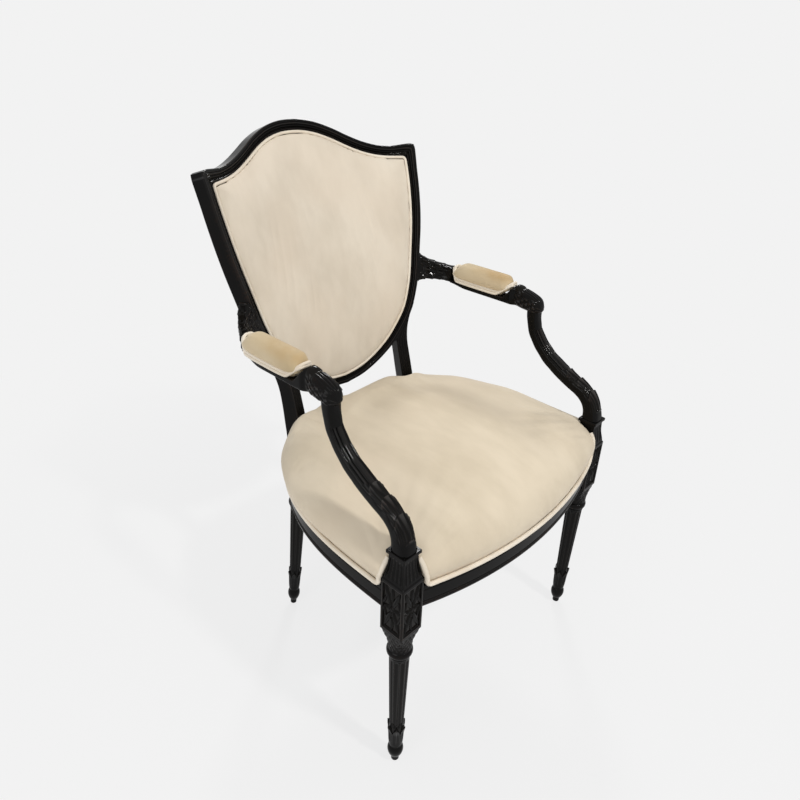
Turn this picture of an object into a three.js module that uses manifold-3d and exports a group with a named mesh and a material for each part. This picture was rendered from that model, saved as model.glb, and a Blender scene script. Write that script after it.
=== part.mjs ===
// Shield back armchair: lacquered wooden frame with an upholstered back, seat and arm pads.
// Millimetres, +Z up, the floor at z = 0, the sitter faces -Y. Right-hand pieces are on +X.
import * as THREE from 'three';
import { mergeVertices } from 'three/addons/utils/BufferGeometryUtils.js';
import Module from 'manifold-3d';

const wasm = await Module();
wasm.setup();

// Fits
const fit = 0.3;
const overrun = 3;
const weld = 0.0001;

// Seat frame, with y measured from the axis of the front legs
const legSpan = 520;
const railTop = 404;
const railHeight = 42;
const railSetback = 1;
const frontRailThick = 26;
const frontRailBow = 42;
const sideRailThick = 24;
const rearRailThick = 22;
const rearRailShift = 4;
const sideFrontReach = 149;
const sideRearReach = 130;
const sideRearShare = 0.74;
const tenonThick = 10;
const tenonHeight = 30;
const tenonLength = 17;
const sideTenonInset = 6;
const rearTenonRoot = 16;
const rearTenonBite = 7;

// Front leg, block and plate
const blockSide = 42;
const blockChamfer = 3;
const blockRise = 20;
const blockDrop = 32;
const blockBevel = 5;
const neckHeight = 46;
const neckSide = 30.5;
const plateSide = 34;
const plateThick = 6;

// Turned part of every leg
const legTopRadius = 16.3;
const legFootRadius = 12.2;
const collarSwell = 4.1;
const collarHeight = 15;
const collarDrop = 53;
const throatRadius = 16.6;
const throatSwell = 3;
const cuffRadius = 14.4;
const cuffTop = 95;
const ankleRadius = 11.4;
const ankleHeight = 6;
const footRadius = 13.6;
const footTop = 40;
const pegRadius = 7;
const pegHeight = 12;

// Back posts, measured at the front face of the back
const postWidth = 23;
const postFaceY = 362.4;
const postHalfSpan = 152;
const postKnee = 38;
const postStraight = 62;
const stileJoin = 113;
const frameThick = 28;
const earThick = 20;
const rearBlockSwell = 6.5;
const rearBlockDepthSwell = 4;
const rearBlockShoulder = 4;
const rearBlockTaper = 32;
const rearFootOut = 14.5;
const rearFootBack = 25;
const rearLegShare = 0.92;

// Shield shape
const backBaseRise = 64;
const backHeight = 425;
const rakeShare = 0.313;
const backBow = 6;
const backHollow = 72.4;
const backHalfWidth = 234.5;
const shieldHalf = 219;
const shieldBottomRise = 100;
const shieldSideHeight = 389;
const crestRise = 51;
const sideFace = 14;
const crestFace = 16;
const lowerFace = 13;
const earOut = 17.6;
const earUp = 16.5;
const rebateWidth = 15;
const rebateDepth = 6;
const earSoftness = 8;

// Dowels
const dowelRadius = 4;
const crestDowelLength = 22;
const lowerDowelLength = 32;
const armDowelRadius = 5;
const armDowelLength = 40;

// Arms and their supports
const supportReach = 153;
const supportRise = 174;
const supportInset = 4;
const supportRadius = 13.6;
const supportPinRadius = 6.5;
const supportPinLength = 26;
const armWidth = 30;
const armStrip = 9.5;
const armRearRise = 10;
const armNose = 19;
const padLength = 129;
const padSlant = 32;
const padSetback = 11;
const padHeight = 40;
const knuckleRise = 31;
const rootHeight = 62;
const rootDepth = 26;
const rootBend = 28;

// Screws and corner braces
const screwRadius = 2.2;
const screwHead = 4.2;
const screwHeadDepth = 3;
const screwPoint = 4;
const braceScrewLength = 28;
const braceScrewBite = 12;
const armScrewLength = 54;
const armScrewBite = 18;
const braceHeight = 32;
const braceDrop = 4;
const braceLeg = 62;
const rearBraceLeg = 68;

// Upholstery
const clothThick = 1.4;
const webThick = 1.5;
const burlapThick = 0.8;
const webInset = 9;
const seatHeight = 96;
const seatSwell = 7.5;
const seatNotchGap = 2;
const weltRadius = 3.8;
const weltOut = 3.4;
const backWeltRadius = 3.4;
const backWeltGap = 1.5;
const backDome = 20;
const stuffingBack = 3.4;
const outsideMargin = 10;
const padOverhang = 4;
const padWeltRadius = 2.8;
const cordGap = 0.6;

// Derived heights and places
const blockHalf = blockSide / 2;
const legX = legSpan / 2;
const railBottom = railTop - railHeight;
const railMiddle = railTop - railHeight / 2;
const blockTop = railTop + blockRise;
const blockBottom = railBottom - blockDrop;
const neckTop = blockTop + neckHeight;
const plateTop = neckTop + plateThick;
const armUnder = plateTop + supportRise;
const armX = legX - supportInset;
const padSeat = armUnder + armStrip;
const padRear = postFaceY - padSetback;
const backBase = railTop + backBaseRise;
const shieldBottom = railTop + shieldBottomRise;
const earZ = shieldBottom + shieldSideHeight;
const frontRailY = railSetback - blockHalf;
const railEnd = legX - blockHalf - fit;
const clothBase = railTop + fit;
const burlapBase = clothBase + webThick + fit;
const foamBase = burlapBase + burlapThick + fit;
const weltZ = railTop + fit + weltRadius;
const farAway = backHeight;

// Colours of the pieces
const finish = {
  lacquer: { color: 0x0d0c0b, roughness: 0.22, metalness: 0 },
  beech: { color: 0xb98d5c, roughness: 0.7, metalness: 0 },
  velvet: { color: 0xdccfb4, roughness: 0.9, metalness: 0 },
  welt: { color: 0xe9dfc9, roughness: 0.85, metalness: 0 },
  stuffing: { color: 0xe8dcae, roughness: 0.95, metalness: 0 },
  jute: { color: 0x9a7f55, roughness: 0.95, metalness: 0 },
  cambric: { color: 0x1c1c1e, roughness: 0.95, metalness: 0 },
  steel: { color: 0x9b9a96, roughness: 0.4, metalness: 1 },
};

const lerp = (a, b, share) => a + (b - a) * share;
const vec = (x, y, z) => new THREE.Vector3(x, y, z);
const flat = (x, y) => new THREE.Vector2(x, y);

// Smooth line through [across, up] shares of a width and a height
function curveThrough(shares, width, height, count) {
  const points = shares.map(([a, b]) => flat(a * width, b * height));
  return new THREE.SplineCurve(points).getSpacedPoints(count);
}

// Value read off a line of points whose other value runs one way
function readAlong(points, from, to, at) {
  const rising = points[points.length - 1][from] > points[0][from];
  let i = 0;
  while (i < points.length - 2 && (rising ? at > points[i + 1][from] : at < points[i + 1][from])) {
    i += 1;
  }
  const a = points[i];
  const b = points[i + 1];
  return lerp(a[to], b[to], (at - a[from]) / (b[from] - a[from]));
}

// Geometry from shared points and triangles, turned so that its faces point out
function facing(points, triangles) {
  const position = new Float32Array(points.length * 3);
  points.forEach((p, i) => p.toArray(position, i * 3));
  let volume = 0;
  triangles.forEach(([a, b, c]) => {
    volume += points[a].dot(points[b].clone().cross(points[c]));
  });
  const index = triangles.flatMap(([a, b, c]) => (volume < 0 ? [a, c, b] : [a, b, c]));
  const geometry = new THREE.BufferGeometry();
  geometry.setAttribute('position', new THREE.BufferAttribute(position, 3));
  geometry.setIndex(index);
  return geometry;
}

// Triangles of the band between two neighbouring rings
function band(size, low, high) {
  const triangles = [];
  for (let i = 0; i < size; i += 1) {
    const next = (i + 1) % size;
    triangles.push([low + i, low + next, high + i], [low + next, high + next, high + i]);
  }
  return triangles;
}

// Flat cap over one ring of points
function capOf(ring) {
  const normal = vec(0, 0, 0);
  ring.forEach((p, i) => normal.add(p.clone().cross(ring[(i + 1) % ring.length])));
  normal.normalize();
  const side = Math.abs(normal.z) < 0.9 ? vec(0, 0, 1) : vec(1, 0, 0);
  const across = side.cross(normal).normalize();
  const up = normal.clone().cross(across);
  return THREE.ShapeUtils.triangulateShape(ring.map((p) => flat(p.dot(across), p.dot(up))), []);
}

// Solid through a row of rings that have the same number of points
function loft(rings) {
  const size = rings[0].length;
  const top = (rings.length - 1) * size;
  const triangles = rings.slice(1).flatMap((_, r) => band(size, r * size, (r + 1) * size));
  capOf(rings[0]).forEach(([a, b, c]) => triangles.push([a, c, b]));
  capOf(rings[rings.length - 1]).forEach(([a, b, c]) => triangles.push([top + a, top + b, top + c]));
  return facing(rings.flat(), triangles);
}

// Two skins of rings that each shrink to a tip, joined along their first rings
function layered(outer, outerTip, inner, innerTip) {
  const size = outer[0].length;
  const points = [...outer.flat(), outerTip, ...inner.flat(), innerTip];
  const shift = outer.length * size + 1;
  const skin = (rings, start) => {
    const top = start + (rings.length - 1) * size;
    const sides = rings.slice(1).flatMap((_, r) => band(size, start + r * size, start + (r + 1) * size));
    const fan = Array.from({ length: size }, (_, i) => [top + i, top + ((i + 1) % size), top + size]);
    return [...sides, ...fan];
  };
  const back = skin(inner, shift).map(([a, b, c]) => [a, c, b]);
  const rim = band(size, 0, shift).map(([a, b, c]) => [a, c, b]);
  return facing(points, [...skin(outer, 0), ...back, ...rim]);
}

// Merged geometry without the triangles that have no area
function tidied(geometry) {
  const bare = geometry.clone();
  bare.deleteAttribute('normal');
  bare.deleteAttribute('uv');
  const merged = mergeVertices(bare, weld);
  const index = [];
  for (let i = 0; i < merged.index.count; i += 3) {
    const [a, b, c] = [0, 1, 2].map((k) => merged.index.getX(i + k));
    if (a !== b && b !== c && c !== a) {
      index.push(a, b, c);
    }
  }
  merged.setIndex(index);
  return merged;
}

function toSolid(geometry) {
  const merged = tidied(geometry);
  const mesh = new wasm.Mesh({
    numProp: 3,
    vertProperties: new Float32Array(merged.attributes.position.array),
    triVerts: new Uint32Array(merged.index.array),
  });
  return new wasm.Manifold(mesh);
}

function toGeometry(solid) {
  const mesh = solid.getMesh();
  const geometry = new THREE.BufferGeometry();
  geometry.setAttribute('position', new THREE.BufferAttribute(new Float32Array(mesh.vertProperties), 3));
  geometry.setIndex(Array.from(mesh.triVerts));
  return geometry;
}

const join = (...parts) => toGeometry(parts.map(toSolid).reduce((a, b) => a.add(b)));
const common = (a, b) => toGeometry(toSolid(a).intersect(toSolid(b)));
const cut = (body, ...tools) => toGeometry(
  tools.map(toSolid).reduce((a, b) => a.subtract(b), toSolid(body)),
);

// The same piece on the other side of the chair
function mirrored(geometry) {
  const copy = tidied(geometry);
  const place = copy.attributes.position;
  for (let i = 0; i < place.count; i += 1) {
    place.setX(i, -place.getX(i));
  }
  const index = Array.from(copy.index.array);
  for (let i = 0; i < index.length; i += 3) {
    [index[i + 1], index[i + 2]] = [index[i + 2], index[i + 1]];
  }
  copy.setIndex(index);
  return copy;
}

function box(from, to) {
  const middle = from.clone().add(to).divideScalar(2);
  const span = to.clone().sub(from);
  return new THREE.BoxGeometry(span.x, span.y, span.z).translate(middle.x, middle.y, middle.z);
}

// Flat outline raised along z
function slab(points, bottom, top) {
  const settings = { depth: top - bottom, bevelEnabled: false };
  return new THREE.ExtrudeGeometry(new THREE.Shape(points), settings).translate(0, 0, bottom);
}

// Flat outline in y and z, given thickness along x
function sidePlate(points, from, to) {
  const turn = new THREE.Matrix4().makeBasis(vec(0, 1, 0), vec(0, 0, 1), vec(1, 0, 0));
  return slab(points, from, to).applyMatrix4(turn);
}

// Round body from [radius, distance] pairs that start and end on its axis
function turned(profile, start, direction, sides) {
  const turn = new THREE.Quaternion().setFromUnitVectors(vec(0, 1, 0), direction.clone().normalize());
  return new THREE.LatheGeometry(profile.map(([radius, along]) => flat(radius, along)), sides)
    .applyQuaternion(turn)
    .translate(start.x, start.y, start.z);
}

// Round peg between two points, longer and wider by a growth
function peg(radius, start, end, grow) {
  const along = end.clone().sub(start);
  const far = along.length() + grow;
  const wide = radius + grow;
  return turned([[0, -grow], [wide, -grow], [wide, far], [0, far]], start, along, 10);
}

// Wood screw, and the stepped hole that takes it
function screw(start, direction, length) {
  const shank = length - screwPoint;
  const profile = [
    [0, 0], [screwHead, 0], [screwHead, screwHeadDepth], [screwRadius, screwHeadDepth],
    [screwRadius, shank], [0, length],
  ];
  return turned(profile, start, direction, 6);
}

function screwHole(start, direction, length, recess) {
  const profile = [
    [0, -recess], [screwHead + fit, -recess], [screwHead + fit, screwHeadDepth + fit],
    [screwRadius + fit, screwHeadDepth + fit], [screwRadius + fit, length + fit], [0, length + fit],
  ];
  return turned(profile, start, direction, 6);
}

// Closed line moved sideways, inward for a positive distance where it runs counterclockwise
function insetLoop(points, distance) {
  const count = points.length;
  return points.map((p, i) => {
    const a = p.clone().sub(points[(i + count - 1) % count]).normalize();
    const b = points[(i + 1) % count].clone().sub(p).normalize();
    const normal = flat(-(a.y + b.y), a.x + b.x).normalize();
    const stretch = 1 / Math.max(0.6, normal.dot(flat(-a.y, a.x)));
    return p.clone().add(normal.multiplyScalar(distance * stretch));
  });
}

// Open line moved to its left
function offsetLine(points, distance) {
  return points.map((p, i) => {
    const before = points[Math.max(i - 1, 0)];
    const after = points[Math.min(i + 1, points.length - 1)];
    const along = after.clone().sub(before).normalize();
    return p.clone().add(flat(-along.y, along.x).multiplyScalar(distance));
  });
}

function scaled(points, centre, share) {
  return points.map((p) => p.clone().sub(centre).multiplyScalar(share).add(centre));
}

// Line and its mirror image as one line from -X to +X
const bothSides = (points) => [...points.slice(1).reverse().map((p) => flat(-p.x, p.y)), ...points];

// Piping: a round cord along points in space, each with the direction that points off its seat
function cord(points, ups, radius) {
  const sides = 6;
  const rings = points.map((p, i) => {
    const before = points[Math.max(i - 1, 0)];
    const after = points[Math.min(i + 1, points.length - 1)];
    const along = after.clone().sub(before).normalize();
    const side = along.clone().cross(ups[i]).normalize();
    const lift = side.clone().cross(along);
    return Array.from({ length: sides }, (_, k) => {
      const turn = (k / sides) * Math.PI * 2;
      return p.clone()
        .addScaledVector(lift, Math.cos(turn) * radius)
        .addScaledVector(side, Math.sin(turn) * radius);
    });
  });
  return loft(rings);
}

const levelCord = (points, radius) => cord(points, points.map(() => vec(0, 0, 1)), radius);

// Path round a closed line, opened by a small gap halfway between its first and last points
function opened(points, gap) {
  const first = points[0];
  const last = points[points.length - 1];
  const middle = first.clone().add(last).divideScalar(2);
  const along = first.clone().sub(last).normalize().multiplyScalar(gap);
  return [middle.clone().add(along), ...points, middle.clone().sub(along)];
}

// Sheet of crossing straps, where the cells between straps are left open
function lattice(columns, rows, openShare, place) {
  const stops = (count) => Array.from({ length: count * 2 }, (_, i) => {
    const strap = Math.floor(i / 2);
    return (i % 2 ? strap + 1 - openShare : strap) / (count - openShare);
  });
  const across = stops(columns);
  const along = stops(rows);
  const points = across.flatMap((s) => along.flatMap((t) => [place(s, t, 0), place(s, t, 1)]));
  const at = (i, j, layer) => (i * along.length + j) * 2 + layer;
  const isOpen = (i, j) => i < 0 || j < 0 || i > across.length - 2 || j > along.length - 2
    || (i % 2 === 1 && j % 2 === 1);
  const triangles = [];
  const quad = (a, b, c, d) => triangles.push([a, b, c], [a, c, d]);
  const wall = (i, j, k, l) => quad(at(i, j, 0), at(k, l, 0), at(k, l, 1), at(i, j, 1));
  for (let i = 0; i < across.length - 1; i += 1) {
    for (let j = 0; j < along.length - 1; j += 1) {
      if (!isOpen(i, j)) {
        quad(at(i, j, 1), at(i + 1, j, 1), at(i + 1, j + 1, 1), at(i, j + 1, 1));
        quad(at(i, j, 0), at(i, j + 1, 0), at(i + 1, j + 1, 0), at(i + 1, j, 0));
        if (isOpen(i, j - 1)) wall(i, j, i + 1, j);
        if (isOpen(i + 1, j)) wall(i + 1, j, i + 1, j + 1);
        if (isOpen(i, j + 1)) wall(i + 1, j + 1, i, j + 1);
        if (isOpen(i - 1, j)) wall(i, j + 1, i, j);
      }
    }
  }
  return facing(points, triangles);
}

// The hollow surface that the front of the back frame follows
const backStart = postFaceY - backHollow * (1 - (postHalfSpan / backHalfWidth) ** 2);

function backY(x, z) {
  const up = z - backBase;
  const middle = backHeight / 2;
  return backStart + rakeShare * up - backBow * (1 - ((up - middle) / middle) ** 2)
    + backHollow * (1 - (x / backHalfWidth) ** 2);
}

// A point of the back: x and z on its front surface, then a depth square to that surface
function onBack(x, z, depth) {
  const middle = backHeight / 2;
  const slopeX = -2 * backHollow * x / backHalfWidth ** 2;
  const slopeZ = rakeShare + 2 * backBow * (z - backBase - middle) / middle ** 2;
  return vec(x, backY(x, z), z).addScaledVector(vec(-slopeX, 1, -slopeZ).normalize(), depth);
}

// Half of the shield's inner outline, from the bottom centre to the ear and on to the crest
const sideShares = [
  [0, 0], [0.16, 0.012], [0.29, 0.038], [0.41, 0.075], [0.53, 0.127], [0.65, 0.202], [0.735, 0.272],
  [0.79, 0.345], [0.84, 0.435], [0.886, 0.549], [0.93, 0.66], [0.962, 0.765], [0.987, 0.885], [1, 1],
];
const crestShares = [
  [1, 0], [0.86, 0.005], [0.74, 0.06], [0.62, 0.2], [0.5, 0.41], [0.37, 0.67], [0.23, 0.88],
  [0.1, 0.98], [0, 1],
];
const sideLine = curveThrough(sideShares, shieldHalf, shieldSideHeight, 12)
  .map((p) => flat(p.x, p.y + shieldBottom));
const crestLine = curveThrough(crestShares, shieldHalf, crestRise, 6)
  .map((p) => flat(p.x, p.y + earZ));
const innerX = (z) => readAlong(sideLine, 'y', 'x', z);

// The whole inner outline, counterclockwise from the bottom centre as the sitter's side is seen
const shieldRight = [...sideLine, ...crestLine.slice(1)];
const shieldLeft = shieldRight.slice(1, -1).reverse().map((p) => flat(-p.x, p.y));
const shieldLoop = [...shieldRight, ...shieldLeft];

// The same outline for the upholstery, whose corners at the ears are rounded off
const softLoop = shieldLoop.flatMap((p, i) => {
  if (p.y !== earZ) {
    return [p];
  }
  return [-1, 1].map((step) => {
    const way = shieldLoop[(i + step + shieldLoop.length) % shieldLoop.length].clone().sub(p).normalize();
    return p.clone().addScaledVector(way, earSoftness);
  });
});
const shieldCentre = flat(0, (shieldBottom + earZ + crestRise) / 2);

function thicknessAt(z) {
  const start = armUnder + rootHeight;
  const share = THREE.MathUtils.clamp((z - start) / (earZ + earUp - start), 0, 1);
  return lerp(frameThick, earThick, share);
}

// L section of the shield frame at one station: outer edge, face edge, step, rebate edge
function frameRing(outer, face, rebate, grow) {
  const thick = thicknessAt(outer.y);
  return [
    onBack(outer.x, outer.y, -grow),
    onBack(face.x, face.y, -grow),
    onBack(face.x, face.y, rebateDepth - grow),
    onBack(rebate.x, rebate.y, rebateDepth - grow),
    onBack(rebate.x, rebate.y, thick + grow),
    onBack(outer.x, outer.y, thick + grow),
  ];
}

// Ring at the mitre of the right ear, moved square to the mitre
const mitreWay = flat(earUp, -earOut).normalize();

function earRing(move) {
  const reachShare = rebateWidth / crestFace;
  const place = (share) => flat(shieldHalf + earOut * share, earZ + earUp * share)
    .addScaledVector(mitreWay, move);
  return frameRing(place(1), place(0), place(-reachShare), 0);
}

// Outer edge of the post and stile at a height
function stileX(z) {
  const start = backBase + postStraight;
  const joinZ = shieldBottom + stileJoin;
  if (z >= joinZ) {
    return innerX(z) + sideFace;
  }
  const share = Math.max(0, (z - start) / (joinZ - start));
  return lerp(postHalfSpan, innerX(joinZ) + sideFace, share ** 2);
}

// Front face of the post, which curves forward below the back and back again at the leg
function postY(x, z) {
  if (z >= backBase) {
    return backY(x, z);
  }
  const drop = backBase - z;
  const lean = rakeShare - 4 * backBow / backHeight;
  return backY(x, backBase) - lean * drop + postKnee * (drop / (backBase - blockBottom)) ** 2;
}

// A point of the post below the back: x on its front face, then a depth straight into the wood
function onPost(x, z, depth) {
  const way = vec(2 * backHollow * x / backHalfWidth ** 2, 1, 0).normalize();
  return vec(x, postY(x, z), z).addScaledVector(way, depth);
}

// Square block of the rear leg, wider than the post above it
function rearSwell(z) {
  const start = railTop + rearBlockShoulder;
  return 1 - THREE.MathUtils.clamp((z - start) / rearBlockTaper, 0, 1);
}

const rearCentre = (z) => onPost(postHalfSpan - postWidth / 2, z, frameThick / 2);
const rearRailY = rearCentre(railMiddle).y + rearRailShift;
const splitShare = 0.345;
const splitZ = lerp(backBase, earZ, splitShare);
const stileShares = [0, 0.12, 0.2, 0.26, 0.31, splitShare, 0.37, 0.43, 0.51, 0.6, 0.7, 0.8, 0.88, 0.94];
const stileStations = stileShares.map((share) => lerp(backBase, earZ, share));

// Right back post from its block up to the mitred ear, grown all round where it serves as a tool
function postLoft(grow) {
  const notch = fit * 3;
  const lowRing = (z) => {
    const wide = rearBlockSwell * rearSwell(z) + grow;
    const deep = rearBlockDepthSwell * rearSwell(z) + grow;
    const out = postHalfSpan + wide;
    const inn = postHalfSpan - postWidth - wide;
    return [
      onPost(out, z, -deep),
      onPost(inn + notch, z, -deep),
      onPost(inn + notch, z, rebateDepth - grow),
      onPost(inn, z, rebateDepth - grow),
      onPost(inn, z, frameThick + deep),
      onPost(out, z, frameThick + deep),
    ];
  };
  const highRing = (z) => {
    const out = stileX(z);
    const inn = out - postWidth;
    const face = Math.max(innerX(z), inn + notch);
    const rebate = z >= splitZ ? innerX(z) - rebateWidth : inn;
    return frameRing(flat(out + grow, z), flat(face - grow, z), flat(rebate - grow, z), grow);
  };
  const shoulder = railTop + rearBlockShoulder;
  const low = [blockBottom - grow, railBottom, shoulder, shoulder + rearBlockTaper];
  return loft([...low.map(lowRing), ...stileStations.map(highRing), earRing(fit / 2)]);
}

// Everything on the sitter's side of the stile's outer face, for trimming the arm to it
function insideStile() {
  const reach = rebateWidth * 4;
  return loft(stileStations.filter((z) => z > armUnder - reach).map((z) => {
    const out = stileX(z) + fit;
    return [
      onBack(out, z, -reach), onBack(out - reach * 2, z, -reach), onBack(out - reach * 2, z, reach),
      onBack(out, z, reach),
    ];
  }));
}

// Turned leg from just below the floor to just inside its block, along its own axis
function legProfile(top, girth) {
  const collarTop = top - collarDrop;
  const collarFoot = collarTop - collarHeight;
  const topRadius = legTopRadius * girth;
  return [
    [0, -overrun], [pegRadius, -overrun], [pegRadius, pegHeight],
    [footRadius * 0.86, lerp(pegHeight, footTop, 0.25)], [footRadius, lerp(pegHeight, footTop, 0.62)],
    [footRadius * 0.95, lerp(pegHeight, footTop, 0.88)], [ankleRadius, footTop],
    [ankleRadius, footTop + ankleHeight], [cuffRadius * 0.9, lerp(footTop, cuffTop, 0.62)],
    [cuffRadius, cuffTop], [legFootRadius, cuffTop], [topRadius, collarFoot],
    [topRadius + collarSwell * 0.6, lerp(collarFoot, collarTop, 0.45)],
    [topRadius + collarSwell, lerp(collarFoot, collarTop, 0.8)],
    [topRadius + collarSwell, collarTop], [throatRadius * girth, collarTop],
    [throatRadius * girth, lerp(collarTop, top, 0.3)],
    [(throatRadius + throatSwell) * girth, top - blockBevel],
    [(throatRadius + throatSwell) * girth, top + overrun], [0, top + overrun],
  ];
}

// Everything below the floor
const belowFloor = box(vec(-farAway, -farAway, -overrun * 4), vec(farAway, farAway * 2, 0));

function squareRing(side, z) {
  const half = side / 2;
  const edge = half - blockChamfer * side / blockSide;
  const corners = [
    [half, edge], [edge, half], [-edge, half], [-half, edge],
    [-half, -edge], [-edge, -half], [edge, -half], [half, -edge],
  ];
  return corners.map(([x, y]) => vec(x + legX, y, z));
}

// Tenon of the front rail, and the mortise for it when grown
function frontTenon(grow) {
  return box(
    vec(railEnd - overrun, -tenonThick / 2 - grow, railMiddle - tenonHeight / 2 - grow),
    vec(railEnd + fit + tenonLength + grow, tenonThick / 2 + grow, railMiddle + tenonHeight / 2 + grow),
  );
}

// Tenon at the front end of the right side rail
function sideTenon(grow) {
  const outer = legX + blockHalf - sideTenonInset;
  return box(
    vec(outer - tenonThick - grow, blockHalf - tenonLength - grow, railMiddle - tenonHeight / 2 - grow),
    vec(outer + grow, blockHalf + overrun + grow, railMiddle + tenonHeight / 2 + grow),
  );
}

// Outer line of the right side rail in plan, and the same line further in
const sideStart = flat(legX + blockHalf - railSetback, blockHalf + fit);
const sideEndPoint = onPost(postHalfSpan + rearBlockSwell - railSetback, railMiddle, frameThick * 0.9);
const sideEnd = flat(sideEndPoint.x, sideEndPoint.y);
const sideCurve = new THREE.CubicBezierCurve(
  sideStart,
  flat(sideStart.x, sideStart.y + sideFrontReach),
  sideEnd.clone().add(flat(sideRearShare, -Math.sqrt(1 - sideRearShare ** 2)).multiplyScalar(sideRearReach)),
  sideEnd,
);

function sideRailAt(share, inward) {
  const along = sideCurve.getTangent(share);
  return sideCurve.getPoint(share).add(flat(-along.y, along.x).multiplyScalar(inward));
}

function sideRailLine(count, inward) {
  return Array.from({ length: count + 1 }, (_, i) => sideRailAt(i / count, inward));
}

// Tenon at the rear end of the right side rail
function rearSideTenon(grow) {
  const tip = sideRailAt(1, sideRailThick / 2);
  const along = sideCurve.getTangent(1);
  const left = flat(-along.y, along.x);
  const corner = (far, wide) => tip.clone().addScaledVector(along, far).addScaledVector(left, wide);
  const far = rearTenonBite + grow;
  const wide = tenonThick / 2 + grow;
  const outline = [
    corner(-rearTenonRoot, -wide), corner(far, -wide), corner(far, wide), corner(-rearTenonRoot, wide),
  ];
  return slab(outline, railMiddle - tenonHeight / 2 - grow, railMiddle + tenonHeight / 2 + grow);
}

// Tenon at the right end of the rear rail
function rearTenon(grow) {
  const shoulder = postHalfSpan - postWidth - rearBlockSwell;
  const halfThick = tenonThick / 2 + grow;
  const halfHeight = tenonHeight / 2 + grow;
  return box(
    vec(shoulder - rearTenonRoot, rearRailY - halfThick, railMiddle - halfHeight),
    vec(shoulder + rearTenonRoot * 0.7 + grow, rearRailY + halfThick, railMiddle + halfHeight),
  );
}

// Dowel lines: start and end of each on the right side
function dowelLine(centre, way, depth, length) {
  const end = (sign) => centre.clone().addScaledVector(way, sign * length / 2);
  return [-1, 1].map((sign) => onBack(end(sign).x, end(sign).y, depth));
}

const crestDowel = dowelLine(
  flat(shieldHalf - earOut * 0.2, earZ - earUp * 0.2),
  mitreWay,
  (rebateDepth + earThick) / 2,
  crestDowelLength,
);
const lowerDowelShares = [0.8, 0.6];
const lowerJoin = flat(postHalfSpan - postWidth, readAlong(sideLine, 'x', 'y', postHalfSpan - postWidth));
const lowerDowel = dowelLine(
  lowerJoin.clone().add(flat(lowerFace * 0.1, -lowerFace * 0.3)),
  flat(...lowerDowelShares),
  (rebateDepth + frameThick) / 2,
  lowerDowelLength,
);
const armDowelTop = vec(armX, supportReach, armUnder + armDowelLength / 2);
const armDowelFoot = vec(armX, supportReach, armUnder - armDowelLength / 2);

// Screw lines on the right side: point where the driven piece begins, and the direction
const frontBraceFoot = legX - blockHalf - braceLeg * 0.58;
const rearBraceFoot = postHalfSpan - postWidth - rearBlockSwell - screwHead * 4;
const armScrewFace = onBack(stileX(armUnder + rootHeight / 2), armUnder + rootHeight / 2, frameThick / 2);
const armScrewWay = vec(1, -2 * backHollow * stileX(armScrewFace.z) / backHalfWidth ** 2, 0).normalize();

// Outer line of the front rail in plan
function frontRailLine(half, count, outward) {
  const radius = (railEnd ** 2 + frontRailBow ** 2) / (2 * frontRailBow);
  const reach = Math.asin(half / radius);
  return Array.from({ length: count + 1 }, (_, i) => {
    const turn = lerp(-reach, reach, i / count);
    const far = radius + outward;
    return flat(far * Math.sin(turn), frontRailY - frontRailBow + radius - far * Math.cos(turn));
  });
}

const frontLine = frontRailLine(railEnd, 20, 0);
const frontInnerY = (x) => readAlong(frontLine, 'x', 'y', x) + frontRailThick;

const braceZ = railTop - braceDrop - braceHeight / 2;
const sideBraceShare = 0.15;
const rearBraceShare = 0.86;
const rearBraceEndShare = 0.66;
const braceScrewStart = (point, way) => vec(point.x, point.y, braceZ)
  .addScaledVector(way, braceScrewBite - braceScrewLength);
const sideScrew = (share) => {
  const along = sideCurve.getTangent(share);
  return [sideRailAt(share, sideRailThick), vec(along.y, -along.x, 0)];
};
const frontScrewPlace = flat(frontBraceFoot, frontInnerY(frontBraceFoot));
const rearScrewPlace = flat(rearBraceFoot, rearRailY - rearRailThick / 2);
const braceScrews = {
  front: [[frontScrewPlace, vec(0, -1, 0)], sideScrew(sideBraceShare)],
  rear: [[rearScrewPlace, vec(0, 1, 0)], sideScrew(rearBraceShare)],
};
const braceScrewTools = (pairs) => pairs.map(([p, way]) => (
  screwHole(braceScrewStart(p, way), way, braceScrewLength, braceLeg)
));
const armScrewStart = armScrewFace.clone().addScaledVector(armScrewWay, armScrewBite - armScrewLength);

function frontLeg() {
  const shaft = turned(legProfile(blockBottom, 1), vec(legX, 0, 0), vec(0, 0, 1), 12);
  const side = (share) => lerp(neckSide, blockSide, share);
  const at = (share) => lerp(blockTop, neckTop, share);
  const head = loft([
    squareRing(side(0.3), blockBottom - blockBevel), squareRing(blockSide, blockBottom),
    squareRing(blockSide, blockTop), squareRing(side(0.8), at(0.16)), squareRing(side(0.42), at(0.34)),
    squareRing(side(0.12), at(0.58)), squareRing(neckSide, at(0.85)), squareRing(neckSide, neckTop),
    squareRing(plateSide, neckTop), squareRing(plateSide, plateTop),
  ]);
  const socket = vec(legX, 0, plateTop - supportPinLength);
  const pinHole = peg(supportPinRadius, socket, vec(legX, 0, plateTop + overrun), fit);
  return cut(join(shaft, head), belowFloor, frontTenon(fit), sideTenon(fit), pinHole);
}

function backPost() {
  const top = rearCentre(blockBottom);
  const foot = vec(top.x + rearFootOut, top.y + rearFootBack, 0);
  const axis = top.clone().sub(foot);
  const leg = turned(legProfile(axis.length(), rearLegShare), foot, axis, 12);
  return cut(
    join(leg, postLoft(0)),
    belowFloor,
    rearSideTenon(fit),
    rearTenon(fit),
    peg(dowelRadius, ...crestDowel, fit),
    peg(dowelRadius, ...lowerDowel, fit),
    screwHole(armScrewStart, armScrewWay, armScrewLength, screwHead * 4),
  );
}

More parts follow.
